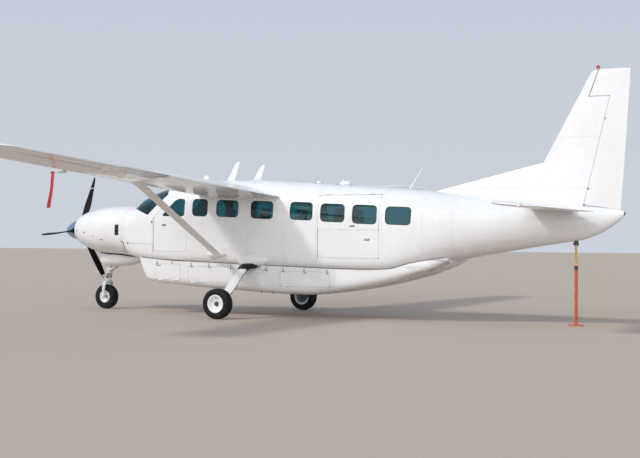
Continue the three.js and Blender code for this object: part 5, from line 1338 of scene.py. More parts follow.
def make_nose_gear():
    cylinder = rod(on_strut(0.80), on_strut(1.12), 0.060, sides=40)
    for z0, z1, radius in ((0.800, 0.822, 0.074), (0.826, 0.846, 0.070), (0.900, 0.915, 0.065)):
        rod(on_strut(z0), on_strut(z1), radius, sides=40, bm=cylinder)
    for side in (PORT, STARBOARD):
        rod(at(strut_x(0.85) + 0.02, side * 0.05, 0.85), at(1.58, side * 0.05, 1.03), 0.020, 0.017, 20, cylinder)
        rod(on_strut(0.862, side * 0.030, -0.02), on_strut(0.862, side * 0.085, -0.02), 0.026, sides=20, bm=cylinder)
    add("nose_cylinder", cylinder, "gear", "nose_strut", slot="bare_steel")

    piston = rod(on_strut(0.655), on_strut(0.7996), 0.038, sides=40)
    add("nose_piston", piston, "chrome", "nose_fork", body="nose_steering", slot="bare_steel")
    crown_rows = [(0.560, 0.040, 0.070), (0.585, 0.055, 0.100), (0.610, 0.060, 0.118), (0.640, 0.060, 0.095),
                  (0.665, 0.056, 0.062), (0.690, 0.050, 0.050)]
    crown = loft([[on_strut(z, across * math.sin(a), -deep * math.cos(a)) for a in full_circle(36)]
                  for z, deep, across in crown_rows])
    add("fork_crown", crown, "gear", body="nose_steering", slot="bare_steel")
    legs = bmesh.new()
    for side in (PORT, STARBOARD):
        rows = [(strut_x(0.62), 0.060, 0.625, 0.045, 0.030), (strut_x(0.61) - 0.004, 0.105, 0.612, 0.048, 0.030),
                (strut_x(0.58) - 0.010, 0.132, 0.570, 0.048, 0.024),
                (strut_x(0.50) - 0.012, FORK_HALF, 0.490, 0.042, 0.018),
                (strut_x(0.40) - 0.006, FORK_HALF, 0.390, 0.037, 0.016),
                (strut_x(0.31), FORK_HALF, 0.305, 0.036, 0.016), (NOSE_AXLE[0], FORK_HALF, 0.240, 0.030, 0.015)]
        rings = []
        for i, (x, y, z, deep, thick) in enumerate(rows):
            tilt = max(0.0, 1.0 - i * 0.4)
            rings.append([at(x + deep * math.cos(a), side * (y + thick * math.sin(a) * (1 - tilt)),
                             z + thick * math.sin(a) * tilt) for a in full_circle(24)])
        loft(rings, legs)
        rod(at(NOSE_AXLE[0], side * 0.0604, 0.272), at(NOSE_AXLE[0], side * 0.158, 0.272), 0.032, sides=32, bm=legs)
        rod(at(NOSE_AXLE[0], side * 0.150, 0.272), at(NOSE_AXLE[0], side * 0.163, 0.272), 0.024, sides=6, bm=legs)
    add("fork_legs", legs, "gear", body="nose_steering", slot="bare_steel")
    links = flat_link(on_strut(0.672, 0, 0.045), on_strut(0.735, 0, 0.150), 0.060, 0.020)
    flat_link(on_strut(0.735, 0, 0.150), on_strut(0.792, 0, 0.040), 0.046, 0.018, links)
    rod(on_strut(0.735, -0.040, 0.148), on_strut(0.735, 0.040, 0.148), 0.014, sides=16, bm=links)
    rod(on_strut(0.672, -0.044, 0.050), on_strut(0.672, 0.044, 0.050), 0.015, sides=16, bm=links)
    add("torque_links", links, "gear", body="nose_steering", slot="bare_steel")
    lugs = bmesh.new()
    for side in (PORT, STARBOARD):
        rod(on_strut(0.700, side * 0.034), on_strut(0.700, side * 0.085), 0.016, sides=16, bm=lugs)
        rod(on_strut(0.700, side * 0.075), on_strut(0.786, side * 0.070, -0.03), 0.009, sides=12, bm=lugs)
    add("steering_lugs", lugs, "dark_steel", body="nose_steering", slot="bare_steel")

    brace_holes = [rod(at(strut_x(0.85) + 0.02, side * 0.05, 0.85), at(1.5803, side * 0.05, 1.0302), 0.0206, sides=20)
                   for side in (PORT, STARBOARD)]
    fairing = cut(fairing_body(0.98), body_part(0.5, 2.9, -SEAM, 0.08, 64), pod_body(-SEAM, 2.53, 3.2),
                  rod(on_strut(0.86), on_strut(1.125), 0.0603, sides=40), *brace_holes)
    # A black band just outside the skin round the fairing's top: painted shadow of the gap under the cowling
    gap = combined(fairing_body(1.02, 0.003), ("INTERSECT", body_part(0.9, 2.7, -0.022, 0.08, 64)),
                   ("DIFFERENCE", body_part(0.8, 2.8, -0.0008, 0.08, 64)),
                   ("DIFFERENCE", pod_body(-0.004, 2.53, 3.2)),
                   ("DIFFERENCE", rod(on_strut(0.86), on_strut(1.5), 0.0606, sides=40)))
    add("nose_fairing_painted_shadow", gap, "black")
    add("nose_gear_fairing_skin", fairing, "plain", "nose_gear_fairing")


# Propeller. Columns: radius, chord, thickness, turn of the chord in degrees, shift aft
BLADE_ROWS = [(0.06, 0.090, 0.085, 0, 0), (0.30, 0.098, 0.070, 5, 0), (0.42, 0.148, 0.048, 6, 0.020),
              (0.60, 0.178, 0.036, 2, 0.035), (0.95, 0.158, 0.024, -12, 0.035), (1.20, 0.118, 0.017, -20, 0.030),
              (1.30, 0.085, 0.013, -22, 0.025), (1.345, 0.036, 0.008, -24, 0.015)]
PROP_X, THRUST_DOWN = 0.385, math.radians(3.2)
TIP_BACK = PROP_X * (1 - math.cos(THRUST_DOWN))
SPINNER_PROFILE = [(0.0, 0.0), (0.014, 0.002), (0.030, 0.009), (0.045, 0.018), (0.072, 0.043), (0.10, 0.075),
                   (0.130, 0.117), (0.155, 0.160), (0.182, 0.213), (0.205, 0.270), (0.222, 0.327),
                   (0.232, 0.380), (0.237, 0.412), (0.238, 0.430), (0.236, 0.437)]


def on_thrust_line(bm):
    """Tips a body built along x about the propeller's middle, so that the spinner points down a little."""
    pivot = at(PROP_X, 0, PROP_AXIS_Z)
    bmesh.ops.rotate(bm, verts=bm.verts, cent=pivot, matrix=Matrix.Rotation(-THRUST_DOWN, 3, "Y"))
    bmesh.ops.translate(bm, verts=bm.verts, vec=(-TIP_BACK, 0, 0))
    return bm


def blade_section(row, lead, swell=0.0):
    r, chord, thickness, turn, shift = row
    t = math.radians(turn)
    out = []
    for a in full_circle(40):
        along = (chord / 2 + swell) * math.cos(a)
        through = (thickness / 2 + swell) * math.sin(a) * (1.0 if thickness > 0.06 else 0.75 + 0.25 * math.cos(a))
        x, y = shift + along * math.cos(t) - through * math.sin(t), along * math.sin(t) + through * math.cos(t)
        out.append(at(PROP_X + x, y * math.cos(lead) + r * math.sin(lead), PROP_AXIS_Z - y * math.sin(lead)
                      + r * math.cos(lead)))
    return out


def make_propeller():
    leads = [math.radians(25 + 120 * k) for k in range(3)]
    blades, bands = bmesh.new(), bmesh.new()
    for lead in leads:
        radii = [0.06, 0.18] + stations(0.28, 1.25, 0.05) + [1.27, 1.29, 1.305, 1.32, 1.332, 1.340, 1.345]
        loft([blade_section(table_at(BLADE_ROWS, r), lead) for r in radii], blades)
        outer, inner = ([blade_section(table_at(BLADE_ROWS, r), lead, swell) for r in (1.045, 1.060)]
                        for swell in (0.0012, -0.0005))
        loft([far[20:] + near[20:][::-1] for far, near in zip(outer, inner)], bands)
    hub = turned_body([(0, 0.27), (0.085, 0.275), (0.10, 0.29), (0.105, 0.425), (0, 0.425)], PROP_FOOT, AFT, 48)
    plate = turned_body([(0, 0.425), (0.2225, 0.425), (0.2225, 0.440), (0, 0.440)], PROP_FOOT, AFT, 64)
    ring_of_rods(PROP_FOOT, AFT, 0.19, 0.006, 0.440, 0.444, 12, 8, plate)
    add("blades_skin", on_thrust_line(blades), "blade", "propeller_blades", body="propeller", slot="black_blade")
    add("blade_bands", on_thrust_line(bands), "band", body="propeller", slot="black_blade")
    add("propeller_hub", on_thrust_line(hub), "dark_steel", body="propeller", slot="black_blade")
    add("spinner_backplate", on_thrust_line(plate), "steel", body="propeller", slot="black_blade")
    outside = turned_body(SPINNER_PROFILE + [(0, 0.437)], PROP_FOOT, AFT, 96)
    inside = turned_body([(0, 0.04), (0.12, 0.15), (0.20, 0.32), (0.2230, 0.42), (0.2230, 0.50), (0, 0.50)],
                         PROP_FOOT, AFT, 96)
    steps = [("DIFFERENCE", inside)]
    for lead in leads:
        out = Vector((0, math.sin(lead), math.cos(lead)))
        centre = at(PROP_X, 0, PROP_AXIS_Z)
        steps.append(("DIFFERENCE", rod(centre + out * 0.13, centre + out * 0.30, 0.060, 0.072, 40)))
    shell = combined(outside, *steps)
    # The spinner's blue-grey metal colour carries a painted sky reflection
    add("spinner_skin", on_thrust_line(shell), "spinner", "spinner", body="propeller", slot="blue_paint")
    screws = bmesh.new()
    for k in range(24):
        a = 2 * math.pi * (k + 0.5) / 24
        out = Vector((0, math.sin(a), math.cos(a)))
        if all(abs((a - lead + math.pi) % (2 * math.pi) - math.pi) > 0.36 for lead in leads):
            foot = at(0.424, 0, PROP_AXIS_Z)
            rod(foot + out * 0.2355, foot + out * 0.2392, 0.0045, sides=10, bm=screws)
    add("spinner_screws", on_thrust_line(screws), "dark_steel", body="propeller", slot="blue_paint")


# Tail stand, lamps, probe and ribbon
STAND_X = 11.80


def make_stand():
    foot = rod(at(STAND_X, 0, 0), at(STAND_X, 0, 0.012), 0.15, sides=64)
    rod(at(STAND_X, 0, 0.011), at(STAND_X, 0, 0.022), 0.036, 0.032, 40, foot)
    tube = rod(at(STAND_X, 0, 0.012), at(STAND_X, 0, 1.05), 0.030, sides=40)
    add("stand_foot", foot, "orange", "tail_stand", slot="stand_orange")
    add("stand_tube", tube, "orange", slot="stand_orange")
    collar = rod(at(STAND_X, 0, 1.030), at(STAND_X, 0, 1.095), 0.037, sides=40)
    rod(at(STAND_X, -0.075, 1.065), at(STAND_X, 0.075, 1.065), 0.010, sides=16, bm=collar)
    rod(at(STAND_X, -0.078, 1.04), at(STAND_X, -0.078, 1.09), 0.007, sides=12, bm=collar)
    add("stand_collar", collar, "dark_steel", slot="stand_orange")
    inner = rod(at(STAND_X, 0, 1.06), at(STAND_X, 0, 1.50), 0.022, sides=32)
    for k in range(6):
        rod(at(STAND_X, -0.0232, 1.14 + 0.055 * k), at(STAND_X, 0.0232, 1.14 + 0.055 * k), 0.007, sides=12, bm=inner)
    add("stand_upper_tube", inner, "yellow", slot="stand_orange")
    hook = cut(prism(rounded([(STAND_X - 0.04, 1.46), (STAND_X + 0.04, 1.46), (STAND_X + 0.04, 1.58),
                              (STAND_X - 0.04, 1.58)], 0.012), -0.006, 0.006), body_part(11.5, 12.2, -SEAM, 0.05, 64))
    add("stand_hook", hook, "dark_steel", slot="stand_orange")
    saddle = cut(block(STAND_X - 0.05, STAND_X + 0.05, -0.024, 0.024, 1.475, 1.515),
                 body_part(11.5, 12.2, -SEAM, 0.05, 64))
    add("stand_saddle", saddle, "dark_steel", slot="stand_orange")


def make_lamps():
    glass = turned_body([(0, 0.012), (0.031, 0.012), (0.033, 0.050), (0.030, 0.062), (0.022, 0.072), (0.011, 0.077),
                         (0, 0.078)], at(12.20, 0, 4.6704), (0, 0, 1), 48)
    add("beacon_glass", glass, "beacon", "beacon_lamp", slot="red_lamp")
    base = turned_body([(0, 0), (0.035, 0), (0.035, 0.012), (0.031, 0.014), (0, 0.014)], at(12.20, 0, 4.6704),
                       (0, 0, 1), 48)
    add("beacon_base", base, "steel", slot="red_lamp")
    lamp_rows = [(0, 12.650), (0.026, 12.650), (0.026, 12.684), (0.020, 12.696), (0.010, 12.703), (0, 12.705)]
    tail = turned_body([(r, x - 12.650) for r, x in lamp_rows], at(12.650, 0, 2.045), AFT, 40)
    add("tail_lamp", tail, "dark_steel")


def make_probe():
    point, _ = wing_point(5.50, 0.13, -1)
    drop = 0.035
    x, y, z = point
    mast = rod(Vector((x + 0.02, y, z + 0.03)), Vector((x - 0.02, y, z - drop)), 0.016, 0.014, 24)
    mast = cut(mast, loft([wing_ring(row) for row in WING_ROWS[:4]]))
    add("probe_mast", mast, "steel", "air_probe", slot="bare_steel")
    tube = rod(Vector((x + 0.05, y, z - drop)), Vector((x - 0.30, y, z - drop)), 0.015, 0.011, 32)
    add("probe_tube", tube, "gear", slot="bare_steel")
    sleeve = []
    for k, s in enumerate((0.150, 0.153, 0.170, 0.190, 0.210, 0.226, 0.232)):
        radius = (0.014, 0.0165, 0.0172, 0.0160, 0.0150, 0.0140, 0.0115)[k]
        sleeve.append([Vector((x - 0.06 - s, y + radius * math.cos(a), z - drop + radius * math.sin(a)))
                       for a in full_circle(32)])
    add("probe_cover", loft(sleeve), "ribbon", slot="red_cloth")


def make_ribbon():
    """The strip of red cloth that hangs from the probe's cover, drifting a little out of its plane."""
    point, _ = wing_point(5.50, 0.13, -1)
    top = Vector((point.x - 0.25, point.y, point.z - 0.049))
    bm = bmesh.new()
    bmesh.ops.create_grid(bm, x_segments=6, y_segments=60, size=0.5)
    for vert in bm.verts:
        across, down = vert.co.x, 0.5 - vert.co.y
        sway = 0.022 * down * math.sin(5.0 * down) + 0.004 * across * math.sin(9.0 * down)
        turn = 0.55 * down * math.sin(2.2 * down)
        vert.co = top + Vector((0.06 * across * math.cos(turn) - 0.075 * down,
                                0.06 * across * math.sin(turn) + sway, -0.5985 * down))
    cloth_strip = piece("red_ribbon_strip", bm, "ribbon")
    stands_for(cloth_strip, "airframe", "red_cloth", "probe_ribbon")


make_wheels()
make_main_gear()
make_nose_gear()
make_propeller()
make_stand()
make_lamps()
make_probe()
make_ribbon()


# Small parts of the body


def on_side(x, z, side=PORT, out=0.0):
    """The point of the body's skin at a station and height."""
    _, half, bottom, top, low_square, high_square = table_at(BODY_ROWS, x)
    high = z - (bottom + top) / 2
    n = high_square if high > 0 else low_square
    share = min(0.999, abs(high) / ((top - bottom) / 2))
    return at(x, side * (half * (1 - share ** n) ** (1 / n) + out), z)


def side_strip(corners, out, inner=0.004, side=PORT):
    """A plate that follows the skin inside a side-view outline, standing out by a little."""
    xs = [p[0] for p in corners]
    sheet = cut(body_part(min(xs) - 0.2, max(xs) + 0.2, -out, 0.1, 80),
                body_part(min(xs) - 0.3, max(xs) + 0.3, inner, 0.1, 80))
    return common(sheet, side_tools([corners], side))


def outline_of(x0, x1, z0, z1, radius=0.02):
    return rounded(corners_of(x0, x1, z0, z1), radius, 4)


def hollow_outline(outer, grow, depth_out):
    """A thin raised frame around a side-view outline, on the port side."""
    return cut(side_strip(drawn_in(outer, -grow), depth_out), side_tools([outer], PORT))


def knuckle_rods(start, way, places, frame_half, leaf_half):
    """Pairs of knuckles along a hinge line, the first of each on the frame, the second on the leaf."""
    for d in places:
        rod(start + way * d, start + way * (d + 0.057), 0.0118, sides=20, bm=frame_half)
        rod(start + way * (d + 0.060), start + way * (d + 0.120), 0.0118, sides=20, bm=leaf_half)


def knuckles(name, start, way, places, leaf_body, side):
    """Hinge knuckles in turn on the frame and on the leaf, about the hinge line."""
    frame_half, leaf_half = bmesh.new(), bmesh.new()
    knuckle_rods(start, way, places, frame_half, leaf_half)
    for word, body, bm in (("frame", "airframe", frame_half), ("leaf", leaf_body, leaf_half)):
        if side == STARBOARD:
            bmesh.ops.scale(bm, vec=(1, -1, 1), verts=bm.verts)
        add(f"{name}_{word}_knuckles", bm, "steel", body=body)


def handle(name, x, z, body, side=PORT):
    """A door handle: a shallow dished plate with a lever lying in it."""
    inside = outline_of(x - 0.050, x + 0.050, z - 0.016, z + 0.016, 0.012)
    plate = cut(side_strip(outline_of(x - 0.056, x + 0.056, z - 0.022, z + 0.022, 0.016), 0.0012, 0.001, side),
                side_tools([inside], side))
    add(name + "_handle_plate", plate, "steel", body=body)
    dish = side_strip(inside, 0.0006, 0.001, side)
    add(name + "_handle_dish", dish, "dark_steel", body=body)
    a, b = on_side(x - 0.040, z, side, 0.006), on_side(x + 0.038, z, side, 0.006)
    lever = rod(a, b, 0.005, 0.0065, 16)
    rod(on_side(x - 0.036, z, side, -0.004), on_side(x - 0.036, z, side, 0.009), 0.009, sides=20, bm=lever)
    add(name + "_handle_lever", lever, "steel", body=body)


def make_doors():
    def along(x0, x1, z, out):
        a, b = on_side(x0, z, PORT, out), on_side(x1, z, PORT, out)
        return a, (b - a).normalized()

    up = Vector((0, 0, 1))
    for side in (PORT, STARBOARD):
        word = SIDE_WORD[side]
        knuckles(f"crew_door_{word}", on_side(2.954, 1.6, PORT, -0.002) + Vector((0, 0, -0.2)), up, [0, 0.36],
                 f"crew_door_{word}", side)
        handle(f"crew_door_{word}", 3.235, 1.853, f"crew_door_{word}", side)
    knuckles("cargo_upper", *along(7.0, 8.1, 2.440, 0.004), [0, 0.92], "cargo_door_upper", PORT)
    knuckles("stair_upper", *along(7.64, 8.12, 2.440, 0.002), [0, 0.36], "stair_door_upper", STARBOARD)
    knuckles("cargo_lower", on_side(6.884, 1.5, PORT, -0.002) + Vector((0, 0, -0.24)), up, [0, 0.30],
             "cargo_door_lower", PORT)
    knuckles("stair_lower", *along(7.64, 8.12, 1.204, -0.002), [0, 0.36], "stair_door_lower", STARBOARD)
    handle("cargo_upper", 7.635, 1.822, "cargo_door_upper")
    handle("cargo_lower", 7.95, 1.56, "cargo_door_lower")
    handle("stair_upper", 7.90, 1.822, "stair_door_upper", STARBOARD)
    steps = bmesh.new()
    for z in (1.33, 1.53):
        loft([[at(x, y, z + dz) for x, y in ((7.655, 0.60), (8.125, 0.60), (8.125, 0.775), (7.655, 0.775))]
              for dz in (0.0, 0.018)], steps)
    add("stair_treads", steps, "steel", body="stair_door_lower")
    treads = bmesh.new()
    for z in (1.33, 1.53):
        for k in range(6):
            block(7.665, 8.115, 0.615 + 0.026 * k, 0.627 + 0.026 * k, z + 0.018, z + 0.0215, treads)
    add("stair_tread_grips", treads, "black", body="stair_door_lower")


# Pod fittings. Columns: station, height of the top, height of the foot, length of the foot, door that carries it
POD_LATCHES = [(3.020, 1.098, 1.005, 0.100, "pod_door_front"), (3.405, 1.085, 1.035, 0.0, "pod_door_front"),
               (3.880, 1.065, 0.985, 0.045, "pod_door_middle"), (4.320, 1.058, 0.975, 0.045, "pod_door_middle"),
               (4.850, 1.044, 0.960, 0.045, "pod_door_middle"), (5.680, 1.012, 0.925, 0.045, "airframe"),
               (6.070, 1.000, 0.915, 0.045, "pod_door_rear"), (6.550, 0.985, 0.900, 0.045, "pod_door_rear"),
               (7.050, 0.970, 0.885, 0.045, "pod_door_rear")]


def on_pod(x, z, out=0.0):
    _, half, bottom, top, square = table_at(POD_ROWS, x)
    share = min(0.999, abs(z - (bottom + top) / 2) / ((top - bottom) / 2))
    return at(x, -(half * (1 - share ** square) ** (1 / square) + out), z)


def latch(x, high, low, foot, bm):
    rod(on_pod(x, high, 0.004), on_pod(x, low, 0.004), 0.006, sides=12, bm=bm)
    if foot:
        rod(on_pod(x, low, 0.004), on_pod(x + foot, low, 0.004), 0.006, sides=12, bm=bm)
    rod(on_pod(x, low + 0.02, -0.003), on_pod(x, low + 0.02, 0.007), 0.007, sides=16, bm=bm)


def make_pod_fittings():
    every = bmesh.new()
    for row in POD_LATCHES:
        latch(*row[:4], every)
    stands_for(mirrored(piece("pod_latches_mould", every, "dark_steel"), "pod_latches_right"), "airframe",
               "white_paint")
    bpy.data.objects.remove(bpy.data.objects["pod_latches_mould"])
    for body in ("airframe", "pod_door_front", "pod_door_middle", "pod_door_rear"):
        bm = bmesh.new()
        for row in POD_LATCHES:
            if row[4] == body:
                latch(*row[:4], bm)
        add("pod_latches_" + body, bm, "dark_steel", body=body)
    hinges = bmesh.new()
    for (name, x0, x1, z0, z1), (h0, h1, out) in zip(POD_DOORS, ((3.04, 3.56, 0.002), (3.86, 4.86, 0.001),
                                                                 (6.06, 6.62, -0.001))):
        a, b = on_pod(h0, z0 + 0.003, out), on_pod(h1, z0 + 0.003, out)
        way, leaf = (b - a).normalized(), bmesh.new()
        knuckle_rods(a, way, (0, h1 - h0 - 0.12), hinges, leaf)
        for x in (x0 + 0.10, x1 - 0.10):
            rod(on_pod(x, z1 - 0.035, -0.003), on_pod(x, z1 - 0.035, 0.0015), 0.010, sides=24, bm=leaf)
        add(name + "_fittings", leaf, "plain", body=name)
    add("pod_hinge_halves", hinges, "plain")
    drains = bmesh.new()
    for x, z in ((5.519, 0.50), (5.798, 0.49)):
        foot = on_pod(x, z + 0.02, -0.03)
        rod(foot, foot + Vector((0, 0, -0.05)), 0.009, sides=12, bm=drains)
    add("pod_drains", drains, "dark_steel")


# Cowling fittings. Columns: station, height, half length, half height
COWL_CATCHES = [(0.935, 1.700, 0.030, 0.010), (1.443, 1.545, 0.034, 0.009), (1.20, 1.62, 0.012, 0.012),
                (0.66, 1.74, 0.012, 0.012)]


def make_cowl_fittings():
    x0, x1, z0, z1 = LOUVRE
    # The slats are black and a black sheet lies behind them: painted shade of the louvre's dark slots
    louvre = bmesh.new()
    for k in range(9):
        z = z0 + 0.012 + 0.0255 * k
        a, b = on_side(x0 + 0.002, z, PORT, -0.016), on_side(x1 - 0.002, z, PORT, -0.016)
        slat = [a, b, b + Vector((0, -0.009, -0.011)), a + Vector((0, -0.009, -0.011))]
        loft([slat, [p + Vector((0, 0, 0.003)) for p in slat]], louvre)
    add_pair("cowl_louvre_left", louvre, "black")
    middle = on_side((x0 + x1) / 2, (z0 + z1) / 2).y
    divider = block(x0 + 0.002, x1 - 0.002, middle + 0.004, middle + 0.03, 1.762, 1.770)
    add("cowl_louvre_divider", divider, "dark_steel")
    back = combined(body_part(1.79, 2.02, 0.034, 0.06), ("DIFFERENCE", body_part(1.7, 2.1, 0.038, 0.06)),
                    ("INTERSECT", side_tools([outline_of(x0 - 0.02, x1 + 0.02, z0 - 0.02, z1 + 0.02)], PORT)))
    add("cowl_louvre_painted_shade_back", back, "black", slot="engine_grey")
    rim = hollow_outline(outline_of(*LOUVRE, 0.006), 0.008, 0.0008)
    add("cowl_louvre_rim", rim, "plain")
    catches = bmesh.new()
    for x, z, half_x, half_z in COWL_CATCHES:
        foot = on_side(x, z, PORT, -0.002)
        loft([[foot + Vector((half_x * math.cos(a), -out, half_z * math.sin(a))) for a in full_circle(20)]
              for out in (0.0, 0.006)], catches)
    latch_a, latch_b = on_side(2.012, 1.515, PORT, 0.003), on_side(2.085, 1.375, PORT, 0.003)
    rod(latch_a, on_side(2.085, 1.50, PORT, 0.003), 0.006, sides=12, bm=catches)
    rod(on_side(2.085, 1.50, PORT, 0.003), latch_b, 0.006, sides=12, bm=catches)
    rod(on_side(2.089, 1.345, PORT, -0.002), on_side(2.089, 1.345, PORT, 0.006), 0.014, sides=20, bm=catches)
    rod(on_side(2.247, 1.471, PORT, -0.002), on_side(2.247, 1.471, PORT, 0.008), 0.018, sides=24, bm=catches)
    add_pair("cowl_catches_left", catches, "dark_steel")
    hatch = hollow_outline(outline_of(2.77, 2.93, 1.20, 1.45, 0.03), 0.0035, 0.0006)
    add("side_hatch_edge", hatch, "seam")
    rail = side_strip([(2.29, 1.456), (2.76, 1.456), (2.76, 1.462), (2.29, 1.462)], 0.0006, 0.002)
    add("side_line", rail, "seam")
    vent = side_strip(outline_of(2.895, 2.935, 1.90, 1.935, 0.008), 0.003)
    add("door_front_lamp", vent, "dark_steel")
    screens = bmesh.new()
    for y, z, half_y, half_z in INTAKES:
        for k in range(-5, 6):
            offset = k / 6
            reach = math.sqrt(1 - offset * offset)
            rod(at(0.70, y + offset * half_y, z - half_z * reach), at(0.70, y + offset * half_y, z + half_z * reach),
                0.0016, sides=6, bm=screens)
            rod(at(0.70, y - half_y * reach, z + offset * half_z), at(0.70, y + half_y * reach, z + offset * half_z),
                0.0016, sides=6, bm=screens)
    add("intake_screens", screens, "dark_steel", slot="engine_grey")


def make_engine():
    axis = PROP_FOOT
    case = turned_body([(0, 0.60), (0.11, 0.605), (0.16, 0.64), (0.19, 0.70), (0.195, 0.76), (0.225, 0.77),
                        (0.225, 0.80), (0.20, 0.81), (0.235, 0.90), (0.27, 1.00), (0.285, 1.01), (0.285, 1.03),
                        (0.265, 1.04), (0.275, 1.20), (0.295, 1.21), (0.295, 1.24), (0.272, 1.25), (0.268, 1.45),
                        (0.290, 1.46), (0.290, 1.49), (0.250, 1.50), (0.240, 1.70), (0.285, 1.72), (0.285, 1.76),
                        (0.235, 1.78), (0.225, 1.98), (0.205, 2.00), (0.205, 2.055), (0, 2.055)], axis, AFT, 64)
    shaft = on_thrust_line(rod(at(0.4405, 0, PROP_AXIS_Z), at(0.62, 0, PROP_AXIS_Z), 0.050, sides=40))
    add("engine_case", case, "engine", "engine_block", slot="engine_grey")
    add("engine_shaft", shaft, "steel", slot="engine_grey")
    bolts = ring_of_rods(axis, AFT, 0.212, 0.006, 0.762, 0.808, 20)
    ring_of_rods(axis, AFT, 0.276, 0.006, 1.002, 1.038, 28, bm=bolts)
    ring_of_rods(axis, AFT, 0.283, 0.006, 1.202, 1.248, 28, bm=bolts)
    add("engine_bolts", bolts, "steel", slot="engine_grey")
    pipes = bmesh.new()
    for k in range(6):
        a = 2 * math.pi * k / 6 + 0.3
        out = Vector((0, math.sin(a), math.cos(a)))
        hose(curve_through([axis + AFT * 0.95 + out * 0.262, axis + AFT * 1.10 + out * 0.296,
                            axis + AFT * 1.30 + out * 0.297, axis + AFT * 1.55 + out * 0.288,
                            axis + AFT * 1.80 + out * 0.262], 5), 0.008, pipes)
    add("engine_pipes", pipes, "steel", slot="engine_grey")
    stack = turned_body([(0.112, 0.0), (0.112, 0.97), (0.1125, 0.985), (0.110, 1.0), (0.104, 1.0),
                         (0.100, 0.985), (0.0985, 0.95), (0.0985, 0.30), (0.02, 0.29), (0.02, 0.0)],
                        Vector((0, 0, 0)), (0, 0, 1), 64, ring=True)
    start, end = stack_point(0), stack_point(1)
    turn = (end - start).to_track_quat("Z", "Y").to_matrix()
    bmesh.ops.scale(stack, vec=(1, 1, (end - start).length), verts=stack.verts)
    bmesh.ops.rotate(stack, verts=stack.verts, cent=(0, 0, 0), matrix=turn)
    bmesh.ops.translate(stack, verts=stack.verts, vec=start)
    add("exhaust_pipe", stack, "hot", "exhaust_stack", slot="hot_steel")


# Windshield, cabin and seats


# Strips round the windshield. Columns: name, finish, outer depth, outline's margin and y, hole's margin and y
WINDSHIELD_STRIPS = [("frame", "plain", -0.0015, -0.022, 0.010, 0.012, 0.042),
                     ("seal", "seal", 0.0005, 0.006, 0.036, 0.020, 0.050)]


def windshield_layer(outer, inner):
    return cut(body_part(2.12, 3.5, outer, 0.06), body_part(2.11, 3.6, inner, 0.06))


def make_windshield():
    layer_of_glass = windshield_layer(0.006, 0.016)
    outline = drawn_in(WINDSHIELD, 0.0004)
    for side in (PORT, STARBOARD):
        word = SIDE_WORD[side]
        pane = common(layer_of_glass.copy(), prism(outline, side * 0.0284, side * 1.0))
        add(f"windshield_pane_{word}", pane, "glass", f"windshield_{word}", slot="teal_glass")
        for part, finish, depth, margin, y, hole_margin, hole_y in WINDSHIELD_STRIPS:
            hole = rounded(drawn_in(WINDSHIELD, hole_margin), 0.03, 4)
            strip = combined(windshield_layer(depth, 0.006),
                             ("INTERSECT", prism(drawn_in(WINDSHIELD, margin), side * y, side * 1.1)),
                             ("DIFFERENCE", prism(hole, side * hole_y, side * 1.1)))
            add(f"windshield_{part}_{word}", strip, finish)


PUFF_SQUARE, PUFF_CUTS = 5.0, 9


def puffed_box(centre, half, lean=0.0):
    """A soft box: corners rounded off, sides bulging; lean moves its top aft."""
    bm = bmesh.new()
    bmesh.ops.create_cube(bm, size=2.0)
    bmesh.ops.subdivide_edges(bm, edges=bm.edges, cuts=PUFF_CUTS, use_grid_fill=True)
    for vert in bm.verts:
        c = vert.co
        size = sum(abs(value) ** PUFF_SQUARE for value in c) ** (1 / PUFF_SQUARE)
        soft = Vector((c.x * half[0], c.y * half[1], c.z * half[2])) / size
        vert.co = centre + soft + Vector((lean * soft.z, 0, 0))
    return bm


SEAT_XS, SINGLE_Y, DOUBLE_Y = [4.30, 5.15, 6.00, 6.85], -0.46, 0.37


def make_seat(name, x, y, width, cad_node):
    half = width / 2
    cushion = puffed_box(at(x, y, 1.515), (0.245, half - 0.004, 0.062))
    back = puffed_box(at(x + 0.275, y, 1.80), (0.062, half - 0.012, 0.245), lean=0.22)
    head = puffed_box(at(x + 0.355, y, 2.105), (0.048, min(half - 0.03, 0.17), 0.068), lean=0.2)
    for word, bm in (("cushion", cushion), ("back", back), ("headrest", head)):
        made = piece(f"{name}_{word}", bm, "seat", 60)
        stands_for(made, "airframe", "seat_leather", cad_node)
    legs = bmesh.new()
    for sy in (-1, 1):
        foot_y = y + sy * (half - 0.08)
        for dx0, dx1 in ((-0.15, -0.12), (0.17, 0.13)):
            rod(at(x + dx0, foot_y, FLOOR_TOP + 0.03), at(x + dx1, foot_y, 1.470), 0.013, sides=16, bm=legs)
        rod(at(x - 0.14, foot_y, 1.32), at(x + 0.15, foot_y, 1.32), 0.010, sides=12, bm=legs)
        block(x - 0.22, x + 0.20, foot_y - 0.015, foot_y + 0.015, 1.450, 1.475, legs)
        rod(at(x + 0.20, y + sy * (half - 0.06), 1.46), at(x + 0.30, y + sy * (half - 0.06), 1.62), 0.014,
            sides=16, bm=legs)
    for sy in (-0.5, 0.5):
        rod(at(x + 0.335, y + sy * 0.14, 2.00), at(x + 0.348, y + sy * 0.14, 2.07), 0.007, sides=12, bm=legs)
    add(name + "_frame", legs, "steel", slot="seat_leather")


